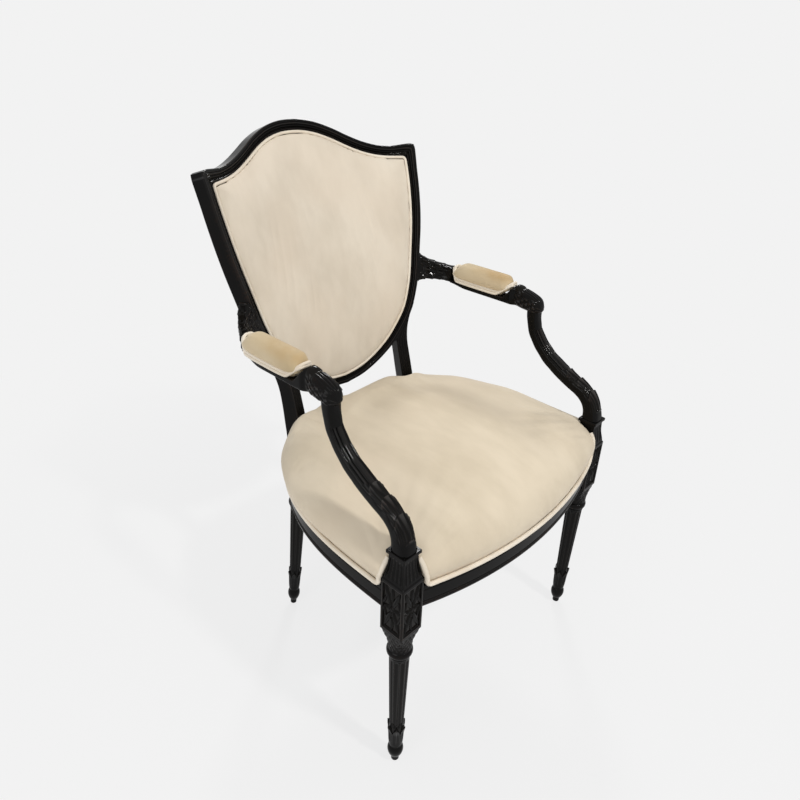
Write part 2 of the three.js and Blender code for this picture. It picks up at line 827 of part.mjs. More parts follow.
function crestRail() {
  const face = bothSides([...crestLine].reverse());
  const outer = offsetLine(face, crestFace);
  const rebate = offsetLine(face, -rebateWidth);
  const right = earRing(-fit / 2);
  const left = right.map((p) => vec(-p.x, p.y, p.z));
  const rings = face.map((p, i) => frameRing(outer[i], p, rebate[i], 0)).slice(1, -1);
  const hole = peg(dowelRadius, ...crestDowel, fit);
  return cut(loft([left, ...rings, right]), hole, mirrored(hole));
}

function shieldLowerRail() {
  const end = postHalfSpan - postWidth / 4;
  const face = bothSides(sideLine.filter((p) => p.x < end));
  const outer = offsetLine(face, -lowerFace);
  const rebate = offsetLine(face, rebateWidth);
  const bar = loft(face.map((p, i) => frameRing(outer[i], p, rebate[i], 0)));
  const post = postLoft(fit);
  const hole = peg(dowelRadius, ...lowerDowel, fit);
  return cut(bar, post, mirrored(post), hole, mirrored(hole));
}

function frontRail() {
  const back = [...frontLine].reverse().map((p) => flat(p.x, p.y + frontRailThick));
  const bar = slab([...frontLine, ...back], railBottom, railTop);
  const holes = braceScrewTools(braceScrews.front);
  return cut(join(bar, frontTenon(0), mirrored(frontTenon(0))), holes[0], mirrored(holes[0]));
}

function sideRail() {
  const outline = [...sideRailLine(14, 0), ...sideRailLine(14, sideRailThick).reverse()];
  const bar = cut(slab(outline, railBottom, railTop), postLoft(fit));
  const holes = [braceScrewTools(braceScrews.front)[1], braceScrewTools(braceScrews.rear)[1]];
  return cut(join(bar, rearSideTenon(0), sideTenon(0)), ...holes);
}

function rearRail() {
  const half = postHalfSpan;
  const bar = box(
    vec(-half, rearRailY - rearRailThick / 2, railBottom),
    vec(half, rearRailY + rearRailThick / 2, railTop),
  );
  const post = postLoft(fit);
  const hole = braceScrewTools(braceScrews.rear)[0];
  const shouldered = cut(bar, post, mirrored(post));
  return cut(join(shouldered, rearTenon(0), mirrored(rearTenon(0))), hole, mirrored(hole));
}

// Room inside the seat rails, in plan
function insideRails(clearance) {
  const inFront = frontLine.map((p) => flat(p.x, p.y + frontRailThick + clearance));
  const inSide = sideRailLine(14, sideRailThick + clearance);
  const rearY = rearRailY - rearRailThick / 2 - clearance;
  const right = [...inFront.slice(inFront.length / 2), ...inSide, flat(rearCentre(railMiddle).x, rearY)];
  return [...right.map((p) => flat(-p.x, p.y)).reverse(), ...right];
}

// Corner block glued and screwed between two rails, behind a leg
function cornerBlock(from, to, corner, legTool, screws) {
  const along = to.clone().sub(from);
  const start = from.clone().addScaledVector(along, -0.4);
  const end = to.clone().addScaledVector(along, 0.4);
  const low = railTop - braceDrop - braceHeight;
  const body = common(
    slab([start, end, corner], low, low + braceHeight),
    slab(insideRails(fit), low - overrun, railTop),
  );
  return cut(body, legTool, ...braceScrewTools(screws));
}

const frontLegTool = box(
  vec(legX - blockHalf - fit, -blockHalf - fit, railBottom - blockDrop),
  vec(legX + blockHalf + fit, blockHalf + fit, plateTop + farAway),
);

function frontCornerBlock() {
  const from = flat(legX - blockHalf - braceLeg, frontRailY + frontRailThick);
  const to = flat(sideRailAt(0, sideRailThick).x, blockHalf + braceLeg);
  return cornerBlock(from, to, flat(to.x + braceLeg, from.y - braceLeg), frontLegTool, braceScrews.front);
}

function rearCornerBlock() {
  const from = flat(postHalfSpan - postWidth - rearBraceLeg, rearRailY - rearRailThick / 2);
  const to = sideRailAt(rearBraceEndShare, sideRailThick);
  return cornerBlock(from, to, flat(to.x, from.y + braceLeg), postLoft(fit), braceScrews.rear);
}

// Section of an arm support or a pad: a rounded rectangle that nears a box as the power grows
function roundedRing(halfX, halfY, power, sides) {
  return Array.from({ length: sides }, (_, i) => {
    const turn = ((i + 0.5) / sides) * Math.PI * 2;
    const soft = (value) => Math.sign(value) * Math.abs(value) ** (2 / power);
    return flat(halfX * soft(Math.cos(turn)), halfY * soft(Math.sin(turn)));
  });
}

// Centre line of the right arm support, as shares of its forward reach and its rise
const supportShares = [
  [0, 0], [0.012, 0.06], [0.03, 0.123], [0.069, 0.187], [0.131, 0.241], [0.216, 0.287], [0.314, 0.322],
  [0.418, 0.362], [0.523, 0.408], [0.611, 0.454], [0.699, 0.5], [0.771, 0.557], [0.84, 0.615],
  [0.895, 0.678], [0.948, 0.747], [0.974, 0.822], [0.996, 0.908], [1, 1],
];
const supportGirthShares = [
  [0, 1.2], [0.05, 1.14], [0.2, 1.06], [0.5, 1.03], [0.8, 0.97], [0.885, 0.94], [0.905, 0.86],
  [0.925, 1], [1, 1],
];

const supportStationShares = [
  0, 0.05, 0.12, 0.19, 0.26, 0.35, 0.45, 0.55, 0.65, 0.75, 0.84, 0.885, 0.905, 0.925, 1,
];

function armSupport() {
  const low = plateTop + fit;
  const line = new THREE.CatmullRomCurve3(supportShares.map(([back, up]) => vec(
    lerp(legX, armX, up),
    back * supportReach,
    lerp(low, armUnder - fit, up),
  )));
  const girths = supportGirthShares.map(([x, y]) => flat(x, y));
  const rings = supportStationShares.map((share) => {
    const centre = line.getPointAt(share);
    const tilted = share > 0 && share < 0.88;
    const along = tilted ? line.getTangentAt(share) : vec(0, 0, 1);
    const side = vec(1, 0, 0);
    const up = along.clone().cross(side).normalize();
    const reach = supportRadius * readAlong(girths, 'x', 'y', share);
    return roundedRing(reach, reach, 2.6, 10)
      .map((p) => centre.clone().addScaledVector(side, p.x).addScaledVector(up, p.y));
  });
  const pinFoot = vec(legX, 0, plateTop - supportPinLength);
  const pin = peg(supportPinRadius, pinFoot, vec(legX, 0, low + overrun), 0);
  return cut(join(loft(rings), pin), peg(armDowelRadius, armDowelFoot, armDowelTop, fit));
}

// Plan of the right arm: straight under the pad, then bending in to the stile
function armPlan() {
  const z = armUnder + rootHeight * 0.8;
  const half = armWidth / 2;
  const front = onBack(stileX(z), z, 0);
  const back = onBack(stileX(z), z, rootDepth);
  const bend = (x, root, share) => {
    const leaving = root.clone().addScaledVector(armScrewWay, rootBend * share * 0.7);
    return new THREE.CubicBezierCurve(
      flat(x, padRear),
      flat(x, padRear + rootBend * share),
      flat(leaving.x, leaving.y),
      flat(root.x, root.y),
    ).getPoints(6);
  };
  const inner = bend(armX - half, front, 0.9);
  const outer = bend(armX + half, back, 1.4);
  const nose = Array.from({ length: 7 }, (_, i) => {
    const turn = Math.PI + (i / 6) * Math.PI;
    return flat(armX + half * Math.cos(turn), supportReach + half * Math.sin(turn) - railSetback);
  });
  const deep = sideFace * 2;
  return [
    ...nose, ...outer, flat(back.x - deep, back.y), flat(front.x - deep, front.y), ...inner.reverse(),
  ];
}

// Side view of the arm: knuckle and lip in front, a flat for the pad, the root at the stile
function armSide() {
  const nose = supportReach - armNose;
  const padFront = padRear - padLength;
  const rootEnd = postFaceY + rootHeight + sideFace;
  const lip = padFront - padSlant * knuckleRise / padHeight;
  const lipTop = armUnder + armStrip + knuckleRise;
  const underLine = [
    flat(nose + overrun, armUnder),
    flat(lerp(padFront, padRear, 0.75), armUnder),
    flat(padRear, armUnder + armRearRise / 2),
    flat(padRear + rootBend, armUnder + armRearRise),
    flat(rootEnd, armUnder + armRearRise / 2),
  ];
  const rootLine = [
    flat(rootEnd, armUnder + rootHeight),
    flat(rootEnd - rootBend, armUnder + rootHeight * 0.96),
    flat(padRear + rootBend * 1.3, armUnder + rootHeight * 0.74),
    flat(padRear + rootBend * 0.4, armUnder + rootHeight * 0.6),
    flat(padRear + fit, armUnder + rootHeight * 0.56),
  ];
  const knuckleLine = [
    flat(padRear + fit, padSeat),
    flat(padFront - cordGap * 2, padSeat),
    flat(lip - cordGap * 2, lipTop),
    flat(lip - armStrip / 3, lipTop),
    flat(lerp(nose, lip, 0.72), armUnder + knuckleRise * 1.06),
    flat(lerp(nose, lip, 0.4), armUnder + knuckleRise * 0.97),
    flat(lerp(nose, lip, 0.14), armUnder + knuckleRise * 0.8),
    flat(nose, armUnder + knuckleRise * 0.48),
  ];
  return [...underLine, ...rootLine, ...knuckleLine];
}

function arm() {
  const half = armWidth + farAway / 4;
  const blank = common(
    sidePlate(armSide(), armX - half, armX + half),
    slab(armPlan(), armUnder - overrun, armUnder + rootHeight + overrun),
  );
  return cut(
    blank,
    insideStile(),
    peg(armDowelRadius, armDowelFoot, armDowelTop, fit),
    screwHole(armScrewStart, armScrewWay, armScrewLength, screwHead),
  );
}

// Pad on the arm: its rings lean forward in front and stand straight at the rear
const padMiddle = padRear - padLength / 2;
const padHalfWidth = armWidth / 2 + padOverhang;

function padPoint(p, height) {
  const share = (padRear - p.y) / padLength;
  return vec(p.x, p.y - padSlant * share * height / padHeight, padSeat + fit + height);
}

function padOutline(inset, sides) {
  return roundedRing(padHalfWidth - inset, padLength / 2 - inset, 4.5, sides)
    .map((p) => flat(p.x + armX, p.y + padMiddle));
}

const padTuck = padWeltRadius * 2 + cordGap;
const padRingShares = [
  [1, 0, 0], [1, 0.14, 0], [0.8, 0.17, 0], [0.2, 0.24, 0], [-0.1, 0.42, 0], [0.1, 0.62, 0.2],
  [0.7, 0.8, 0.5], [1.5, 0.93, 0.9], [2.3, 0.99, 1],
];

function padSkin(shrink, base) {
  return padRingShares.map(([tuckShare, heightShare, liftShare], i) => {
    const height = i === 0 ? base : heightShare * padHeight - shrink * liftShare;
    return padOutline(padTuck * tuckShare + shrink, 16).map((p) => padPoint(p, height));
  });
}

const padTip = (height) => padPoint(flat(armX, padMiddle), height);
const armPad = () => layered(
  padSkin(clothThick + fit, fit),
  padTip(padHeight - clothThick - fit),
  [padSkin(clothThick + fit, 0)[0]],
  padTip(0),
);
const armPadCover = () => layered(
  padSkin(0, 0),
  padTip(padHeight),
  padSkin(clothThick, 0),
  padTip(padHeight - clothThick),
);

function armPadWelt() {
  const loop = opened(padOutline(padWeltRadius, 16), fit);
  return levelCord(loop.map((p) => padPoint(p, padWeltRadius)), padWeltRadius);
}

// Plan of the seat cover at the rails
const seatRearY = rearRailY + rearRailThick / 2;
const seatRight = [
  ...frontRailLine(railEnd, 12, 0).slice(6),
  flat(legX, 0),
  ...sideRailLine(9, 0),
  flat(postHalfSpan - postWidth, rearCentre(railTop).y),
  flat(postHalfSpan * 0.55, seatRearY),
];
const seatLoop = [
  ...seatRight,
  flat(0, seatRearY),
  ...seatRight.slice(1).reverse().map((p) => flat(-p.x, p.y)),
];
const seatCentre = flat(0, (frontRailY - frontRailBow + seatRearY) / 2);
const cordFlat = Math.sqrt(0.75);
const seatTuck = weltRadius * cordFlat + fit - weltOut;
const seatRingShares = [
  [0.3, 1, 0, 0], [0.3, 1, 0.085, 0], [-0.25, 1, 0.13, 0], [-0.8, 1, 0.2, 0], [-1, 1, 0.29, 0],
  [-0.6, 1, 0.42, 0.1], [0, 0.965, 0.55, 0.4], [0, 0.88, 0.7, 0.7], [0, 0.73, 0.84, 0.9],
  [0, 0.5, 0.945, 1], [0, 0.24, 0.99, 1],
];

function seatSkin(shrink, base) {
  return seatRingShares.map(([swellShare, planShare, heightShare, liftShare], i) => {
    const inset = (swellShare > 0 ? seatTuck : swellShare * seatSwell) + shrink;
    const z = i === 0 ? base : railTop + seatHeight * heightShare - shrink * liftShare;
    return scaled(insetLoop(seatLoop, inset), seatCentre, planShare).map((p) => vec(p.x, p.y, z));
  });
}

const seatTip = (z) => vec(seatCentre.x, seatCentre.y, z);

// Room left in the seat for the front leg blocks and the back posts
function seatNotches() {
  const reach = blockHalf + seatNotchGap;
  const front = box(
    vec(legX - reach, -farAway, blockBottom),
    vec(legX + reach + farAway, reach, plateTop + farAway),
  );
  const post = postLoft(seatNotchGap);
  return [front, mirrored(front), post, mirrored(post)];
}

function seatFoam() {
  const shrink = clothThick + fit;
  const skin = seatSkin(shrink, foamBase);
  const body = layered(skin, seatTip(railTop + seatHeight - shrink), [skin[0]], seatTip(foamBase));
  return cut(body, ...seatNotches());
}

function seatCover() {
  const top = railTop + seatHeight;
  const skins = layered(
    seatSkin(0, clothBase),
    seatTip(top),
    seatSkin(clothThick, clothBase),
    seatTip(top - clothThick),
  );
  return cut(skins, ...seatNotches());
}

// Half width of the webbing, the burlap and the dust cover at a depth of the seat
const sideOuter = sideRailLine(24, 0);

function webHalf(y) {
  const betweenLegs = legX - blockHalf - webInset + Math.max(0, y - blockHalf) * 2;
  const onRails = readAlong(sideOuter, 'y', 'x', Math.max(y, sideStart.y)) - webInset;
  const betweenPosts = postHalfSpan - postWidth - rearBlockSwell - webInset * 2
    + Math.max(0, postFaceY - webInset * 3 - y);
  return Math.min(betweenLegs, onRails, betweenPosts);
}

const webFrontY = (x) => readAlong(frontLine, 'x', 'y', x) + webInset;
const webRearY = rearRailY - rearRailThick / 4;

function seatWebbing() {
  const place = (s, t, layer) => {
    const side = s * 2 - 1;
    const front = webFrontY(side * (legX - blockHalf - webInset));
    const y = lerp(front, webRearY, t);
    return vec(side * webHalf(y), y, clothBase + layer * webThick);
  };
  return lattice(4, 5, 0.6, place);
}

function webOutline() {
  const depthShares = [0, 0.06, 0.1, 0.14, 0.2, 0.32, 0.44, 0.56, 0.68, 0.78, 0.86, 0.92, 1];
  const start = blockHalf - webInset;
  const sides = depthShares.map((share) => {
    const y = lerp(start, webRearY, share);
    return flat(webHalf(y), y);
  });
  const front = frontRailLine(legX - blockHalf - webInset, 12, 0).map((p) => flat(p.x, p.y + webInset));
  return [...front, ...sides, ...sides.map((p) => flat(-p.x, p.y)).reverse()];
}

const seatBurlap = () => slab(webOutline(), burlapBase, burlapBase + burlapThick);
const dustCover = () => slab(webOutline(), railBottom - fit - burlapThick, railBottom - fit);

const weltEndShare = 0.05;

function seatWeltFront() {
  const half = frontRailLine(railEnd, 12, weltOut).slice(6);
  half[6].lerp(half[5], weltEndShare);
  return levelCord(bothSides(half).map((p) => vec(p.x, p.y, weltZ)), weltRadius);
}

function seatWeltSide() {
  const points = sideRailLine(9, -weltOut);
  points[0].lerp(points[1], weltEndShare);
  points[9].lerp(points[8], weltEndShare * 3);
  return levelCord(points.map((p) => vec(p.x, p.y, weltZ)), weltRadius);
}

function seatWeltRear() {
  const half = postHalfSpan - postWidth - rearBlockSwell;
  const y = seatRearY + weltOut;
  return levelCord([vec(-half, y, weltZ), vec(half, y, weltZ)], weltRadius);
}

// Rings of the back upholstery: an inset from the outline, a scale about the middle, a depth, a lift
const backTuck = backWeltGap + backWeltRadius * 2 + cordGap;
const backFoot = rebateDepth - fit;
const backRingShares = [
  [0, 1, 0, 0], [0, 1, 0.08, 0], [0.2, 1, -0.08, 0.3], [0.2, 0.965, -0.3, 0.8], [0.2, 0.83, -0.6, 1],
  [0.2, 0.6, -0.84, 1], [0.2, 0.34, -0.97, 1],
];

function backSkin(shrink, depthOf) {
  return backRingShares.map(([insetShare, planShare, depthShare, liftShare], i) => {
    const ring = insetLoop(softLoop, backTuck + insetShare * backWeltRadius * 2 + shrink);
    const depth = depthOf(depthShare, liftShare, i);
    return scaled(ring, shieldCentre, planShare).map((p) => onBack(p.x, p.y, depth));
  });
}

const coverDepth = (shrink) => (depthShare, liftShare, i) => (
  i === 0 ? backFoot : depthShare * backDome + shrink * liftShare
);
const backTip = (depth) => onBack(shieldCentre.x, shieldCentre.y, depth);

const insideBackCover = () => layered(
  backSkin(0, coverDepth(0)),
  backTip(-backDome),
  backSkin(clothThick, coverDepth(clothThick)),
  backTip(clothThick - backDome),
);

function backFoam() {
  const shrink = clothThick + fit;
  const base = backFoot - stuffingBack;
  const front = (...station) => Math.min(base, coverDepth(shrink)(...station));
  return layered(
    backSkin(shrink, front),
    backTip(shrink - backDome),
    backSkin(shrink, () => base),
    backTip(base),
  );
}

function backWebbing() {
  const edge = insetLoop(shieldLoop, backTuck + clothThick + cordGap * 4);
  const sideEdge = edge.slice(0, sideLine.length);
  const crestEdge = edge.slice(sideLine.length - 1, shieldRight.length);
  const lowHalf = postHalfSpan - postWidth - rebateWidth;
  const highHalf = sideEdge[sideLine.length - 1].x;
  const lowZ = readAlong(sideEdge, 'x', 'y', lowHalf);
  const place = (s, t, layer) => {
    const side = s * 2 - 1;
    const reach = Math.abs(side);
    const low = readAlong(sideEdge, 'x', 'y', reach * lowHalf);
    const high = readAlong(crestEdge, 'x', 'y', reach * highHalf);
    const z = lerp(low, high, t);
    const x = side * readAlong(sideEdge, 'y', 'x', Math.max(z, lowZ));
    return onBack(x, z, backFoot - fit - layer * webThick);
  };
  return lattice(5, 4, 0.45, place);
}

// Piping round the back, at an inset from the outline and at a depth
function backCord(inset, depthAt) {
  const loop = opened(insetLoop(softLoop, inset), fit);
  const points = loop.map((p) => onBack(p.x, p.y, depthAt(p)));
  const ups = loop.map((p, i) => onBack(p.x, p.y, depthAt(p) - backWeltRadius).sub(points[i]));
  return cord(points, ups, backWeltRadius);
}

const insideBackWelt = () => backCord(
  backWeltGap + backWeltRadius,
  () => backFoot - fit / 2 - backWeltRadius,
);

const outsideEdge = lowerFace - outsideMargin;

function outsideBackCover() {
  const ring = (share, lift) => scaled(insetLoop(softLoop, -outsideEdge), shieldCentre, share)
    .map((p) => onBack(p.x, p.y, thicknessAt(p.y) + cordGap + lift));
  const depth = thicknessAt(shieldCentre.y) + cordGap;
  const tip = (lift) => onBack(shieldCentre.x, shieldCentre.y, depth + lift);
  const skin = (lift) => [1, 0.9, 0.74, 0.54, 0.28].map((share) => ring(share, lift));
  return layered(skin(clothThick), tip(clothThick), skin(0), tip(0));
}

const outsideBackWelt = () => backCord(
  -outsideEdge - cordGap - backWeltRadius,
  (p) => thicknessAt(p.y) + cordGap + backWeltRadius,
);

const chair = new THREE.Group();

function place(name, geometry, look) {
  const mesh = new THREE.Mesh(tidied(geometry), new THREE.MeshStandardMaterial(look));
  mesh.name = name;
  chair.add(mesh);
}

// One piece for each side of the chair
function placePair(name, geometry, look) {
  place(`${name}_right`, geometry, look);
  place(`${name}_left`, mirrored(geometry), look);
}

placePair('front_leg', frontLeg(), finish.lacquer);
placePair('back_post', backPost(), finish.lacquer);
placePair('arm_support', armSupport(), finish.lacquer);
placePair('arm', arm(), finish.lacquer);
place('crest_rail', crestRail(), finish.lacquer);
place('shield_lower_rail', shieldLowerRail(), finish.lacquer);
place('front_rail', frontRail(), finish.lacquer);
placePair('side_rail', sideRail(), finish.lacquer);
place('rear_rail', rearRail(), finish.lacquer);
placePair('front_corner_block', frontCornerBlock(), finish.beech);
placePair('rear_corner_block', rearCornerBlock(), finish.beech);
Object.entries(braceScrews).forEach(([corner, pairs]) => pairs.forEach(([p, way], i) => {
  const body = screw(braceScrewStart(p, way), way, braceScrewLength);
  placePair(`${corner}_block_screw_${i + 1}`, body, finish.steel);
}));
placePair('arm_screw', screw(armScrewStart, armScrewWay, armScrewLength), finish.steel);
placePair('arm_dowel', peg(armDowelRadius, armDowelFoot, armDowelTop, 0), finish.beech);
placePair('crest_dowel', peg(dowelRadius, ...crestDowel, 0), finish.beech);
placePair('lower_rail_dowel', peg(dowelRadius, ...lowerDowel, 0), finish.beech);
place('seat_webbing', seatWebbing(), finish.jute);
place('seat_burlap', seatBurlap(), finish.jute);
place('seat_foam', seatFoam(), finish.stuffing);
place('seat_cover', seatCover(), finish.velvet);
place('seat_welt_front', seatWeltFront(), finish.welt);
placePair('seat_welt', seatWeltSide(), finish.welt);
place('seat_welt_rear', seatWeltRear(), finish.welt);
place('dust_cover', dustCover(), finish.cambric);
place('back_webbing', backWebbing(), finish.jute);
place('back_foam', backFoam(), finish.stuffing);
place('inside_back_cover', insideBackCover(), finish.velvet);
place('inside_back_welt', insideBackWelt(), finish.welt);
place('outside_back_cover', outsideBackCover(), finish.velvet);
place('outside_back_welt', outsideBackWelt(), finish.welt);
placePair('arm_pad', armPad(), finish.stuffing);
placePair('arm_pad_cover', armPadCover(), finish.velvet);
placePair('arm_pad_welt', armPadWelt(), finish.welt);

// The origin is on the floor under the middle of the chair
const reach = new THREE.Box3().setFromObject(chair);
chair.position.y = -(reach.min.y + reach.max.y) / 2;

export default chair;
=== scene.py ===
# Shield back armchair: its looks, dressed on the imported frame
import math

import bpy
import numpy as np
from mathutils import Matrix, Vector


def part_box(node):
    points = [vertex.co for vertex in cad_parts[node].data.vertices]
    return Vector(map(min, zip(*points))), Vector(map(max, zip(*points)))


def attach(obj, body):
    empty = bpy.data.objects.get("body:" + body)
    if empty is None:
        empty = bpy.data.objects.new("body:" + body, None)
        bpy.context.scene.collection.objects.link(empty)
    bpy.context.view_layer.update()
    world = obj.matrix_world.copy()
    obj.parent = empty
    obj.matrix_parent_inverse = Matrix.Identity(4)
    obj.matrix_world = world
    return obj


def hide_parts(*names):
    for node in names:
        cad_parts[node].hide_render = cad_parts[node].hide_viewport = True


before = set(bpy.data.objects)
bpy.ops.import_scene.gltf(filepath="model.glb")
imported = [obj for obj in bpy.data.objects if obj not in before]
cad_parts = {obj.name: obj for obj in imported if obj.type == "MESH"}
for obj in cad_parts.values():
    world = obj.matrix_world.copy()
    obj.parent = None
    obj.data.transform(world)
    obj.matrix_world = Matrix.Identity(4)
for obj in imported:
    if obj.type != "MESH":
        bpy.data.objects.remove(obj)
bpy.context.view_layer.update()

# Shapes are worked out in millimetres from the axis of the front legs, as the chair is measured
MM = 0.001
leg_low, leg_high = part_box("front_leg_right")
LEG_AXIS_Y = (leg_low.y + leg_high.y) / 2 / MM

# Seat frame
LEG_X = 260
BLOCK_HALF = 22.3
BLOCK_LOW, PLATE_TOP = 330, 476
RAIL_TOP, RAIL_BOTTOM = 404, 362
RAIL_MIDDLE = (RAIL_TOP + RAIL_BOTTOM) / 2
RAIL_END = 238.7
FRONT_RAIL_Y, FRONT_BOW, FRONT_THICK = -20, 42, 26
SIDE_THICK = 24
SIDE_START, SIDE_FRONT_REACH = np.array([280.0, 21.3]), 149
SIDE_REAR_REACH, SIDE_REAR_SHARE = 130, 0.74
REAR_RAIL_THICK = 22
REAR_BLOCK_WIDER, REAR_BLOCK_DEEPER = 6.5, 4

# Back, measured at its front face
POST_WIDTH, POST_HALF, POST_FACE_Y, POST_KNEE = 23, 152, 362.4, 38
POST_MIDDLE = POST_HALF - POST_WIDTH / 2
REAR_FOOT_OUT, REAR_FOOT_BACK, REAR_LEG_GIRTH = 14.5, 25, 0.92
BACK_BASE, BACK_HEIGHT = 468, 425
RAKE, BOW, HOLLOW, BACK_HALF = 0.313, 6, 72.4, 234.5
FRAME_THICK, EAR_THICK = 28, 24
SHIELD_HALF, SHIELD_LOW, EAR_Z, CREST_RISE = 219, 504, 893, 53
SIDE_FACE, CREST_FACE, LOWER_FACE = 14, 16, 13
EAR = np.array([17.6, 21])
EAR_ROUND, EAR_ROUND_REACH = 3.0, 5.0
REBATE_WIDTH, REBATE_DEPTH = 15, 6
SPLIT_Z = 617

# Arms
ARM_X, ARM_UNDER, PAD_SEAT = 256, 650, 659.5
SUPPORT_REACH, SUPPORT_RADIUS = 153, 13.6
PAD_REAR, PAD_LENGTH, PAD_SLANT, PAD_HEIGHT = 351.4, 129, 32, 40
PAD_MIDDLE = PAD_REAR - PAD_LENGTH / 2
PAD_END_DROP, PAD_END_REACH = 14, 26
ARM_WIDTH, ROOT_HEIGHT, ROOT_DEPTH, ROOT_BEND, ROOT_NARROW = 30, 62, 26, 28, 7

# Upholstery
SEAT_HEIGHT, WELT_RADIUS, WELT_OUT = 96, 3.8, 3.4
BACK_WELT_RADIUS, BACK_WELT_GAP, BACK_DOME = 2.7, 1.2, 20
REAR_WELT_OUT, REAR_WELT_SUNK = 2.9, 1.4
PAD_WELT_RADIUS, PAD_OVERHANG = 2.8, 4
CORD_PITCH, CORD_CLIMB, CORD_CLIMB_REACH = 1.7, 24, 17
CORD_SPREAD, CORD_SPREAD_REACH = 2.4, 9
CORD_GAP = 0.6
CLOTH = 1.4

# Angle, in degrees, from which an edge of a mesh is shown sharp
CREASE = 40


# Small helpers on arrays


def lerp(a, b, share):
    return a + (b - a) * share


def ease(x, low, high):
    """0 below low, 1 above high, and a smooth step between: 3 t squared minus 2 t cubed."""
    t = np.clip((x - low) / (high - low), 0, 1)
    return t * t * (3 - 2 * t)


def bump(x, centre, width):
    """A rounded hill: 1 at the centre, falling as a bell whose spread is width."""
    return np.exp(-((x - centre) / width) ** 2)


def hills(x, *each, base=0):
    """Rounded hills, each given by its height, centre and width, on a base."""
    for height, centre, width in each:
        base = base + height * bump(x, centre, width)
    return base


def dome(x):
    """Half a circle: 1 at 0, falling to 0 at 1 on either side."""
    return np.sqrt(np.clip(1 - x ** 2, 0, 1))


def rounded_square(turn, power):
    """Cosine and sine of a turn, bent so that together they draw a rounded square of that power."""
    return [np.sign(v) * np.abs(v) ** (2 / power) for v in (np.cos(turn), np.sin(turn))]


def full_turn(count, start=0.0):
    """Angles of a whole turn at equal steps."""
    return np.linspace(start, start + 2 * np.pi, count, endpoint=False)


def stack(x, y, z):
    """Points from three coordinate arrays of any matching shapes."""
    return np.stack(np.broadcast_arrays(x, y, z), -1).astype(float)


def unit(v):
    return v / np.linalg.norm(v, axis=-1, keepdims=True)


def smooth_line(points, count):
    """A curve through the points at equal steps of its length: each span is the cubic whose end slopes
    are half the step between the neighbours of that end."""
    p = np.asarray(points, float)
    p = np.concatenate([[2 * p[0] - p[1]], p, [2 * p[-1] - p[-2]]])
    t = np.linspace(0, 1, 24, endpoint=False)[None, :, None]
    a, b, c, d = (p[i:len(p) - 3 + i, None] for i in range(4))
    bends = (2 * a - 5 * b + 4 * c - d) * t ** 2
    spans = 0.5 * (2 * b + (c - a) * t + bends + (3 * b - a - 3 * c + d) * t ** 3)
    return evenly(np.concatenate([spans.reshape(-1, p.shape[1]), p[-2:-1]]), count)


def evenly(points, count):
    """The same polyline, sampled at equal steps of its length."""
    steps = np.linalg.norm(np.diff(points, axis=0), axis=1)
    run = np.concatenate([[0], np.cumsum(steps)])
    at = np.linspace(0, run[-1], count)
    return np.stack([np.interp(at, run, points[:, k]) for k in range(points.shape[1])], -1)


def bezier(a, b, c, d, t):
    """Cubic curve from a to d at the shares t, leaving towards b and arriving from c."""
    return (1 - t) ** 3 * a + 3 * (1 - t) ** 2 * t * b + 3 * (1 - t) * t ** 2 * c + t ** 3 * d


def mirror(points):
    """The left-hand twin of right-hand points."""
    return np.asarray(points) * np.array([-1, 1, 1])


# Meshes from grids


def grid_faces(rows, columns, start):
    """Quads of a grid of points whose rows are closed sections, row by row."""
    i, j = np.meshgrid(np.arange(rows - 1), np.arange(columns), indexing="ij")
    k = (j + 1) % columns
    corners = np.stack([i * columns + j, i * columns + k, (i + 1) * columns + k, (i + 1) * columns + j], -1)
    return corners.reshape(-1, 4) + start


def add_object(name, data):
    """A new object of the scene."""
    made = bpy.data.objects.new(name, data)
    bpy.context.scene.collection.objects.link(made)
    return made


def write_relief(mesh, values):
    """Keeps the relief of each point of a mesh for the materials."""
    relief = mesh.attributes.new("relief", "FLOAT", "POINT")
    relief.data.foreach_set("value", values.astype(np.float32))


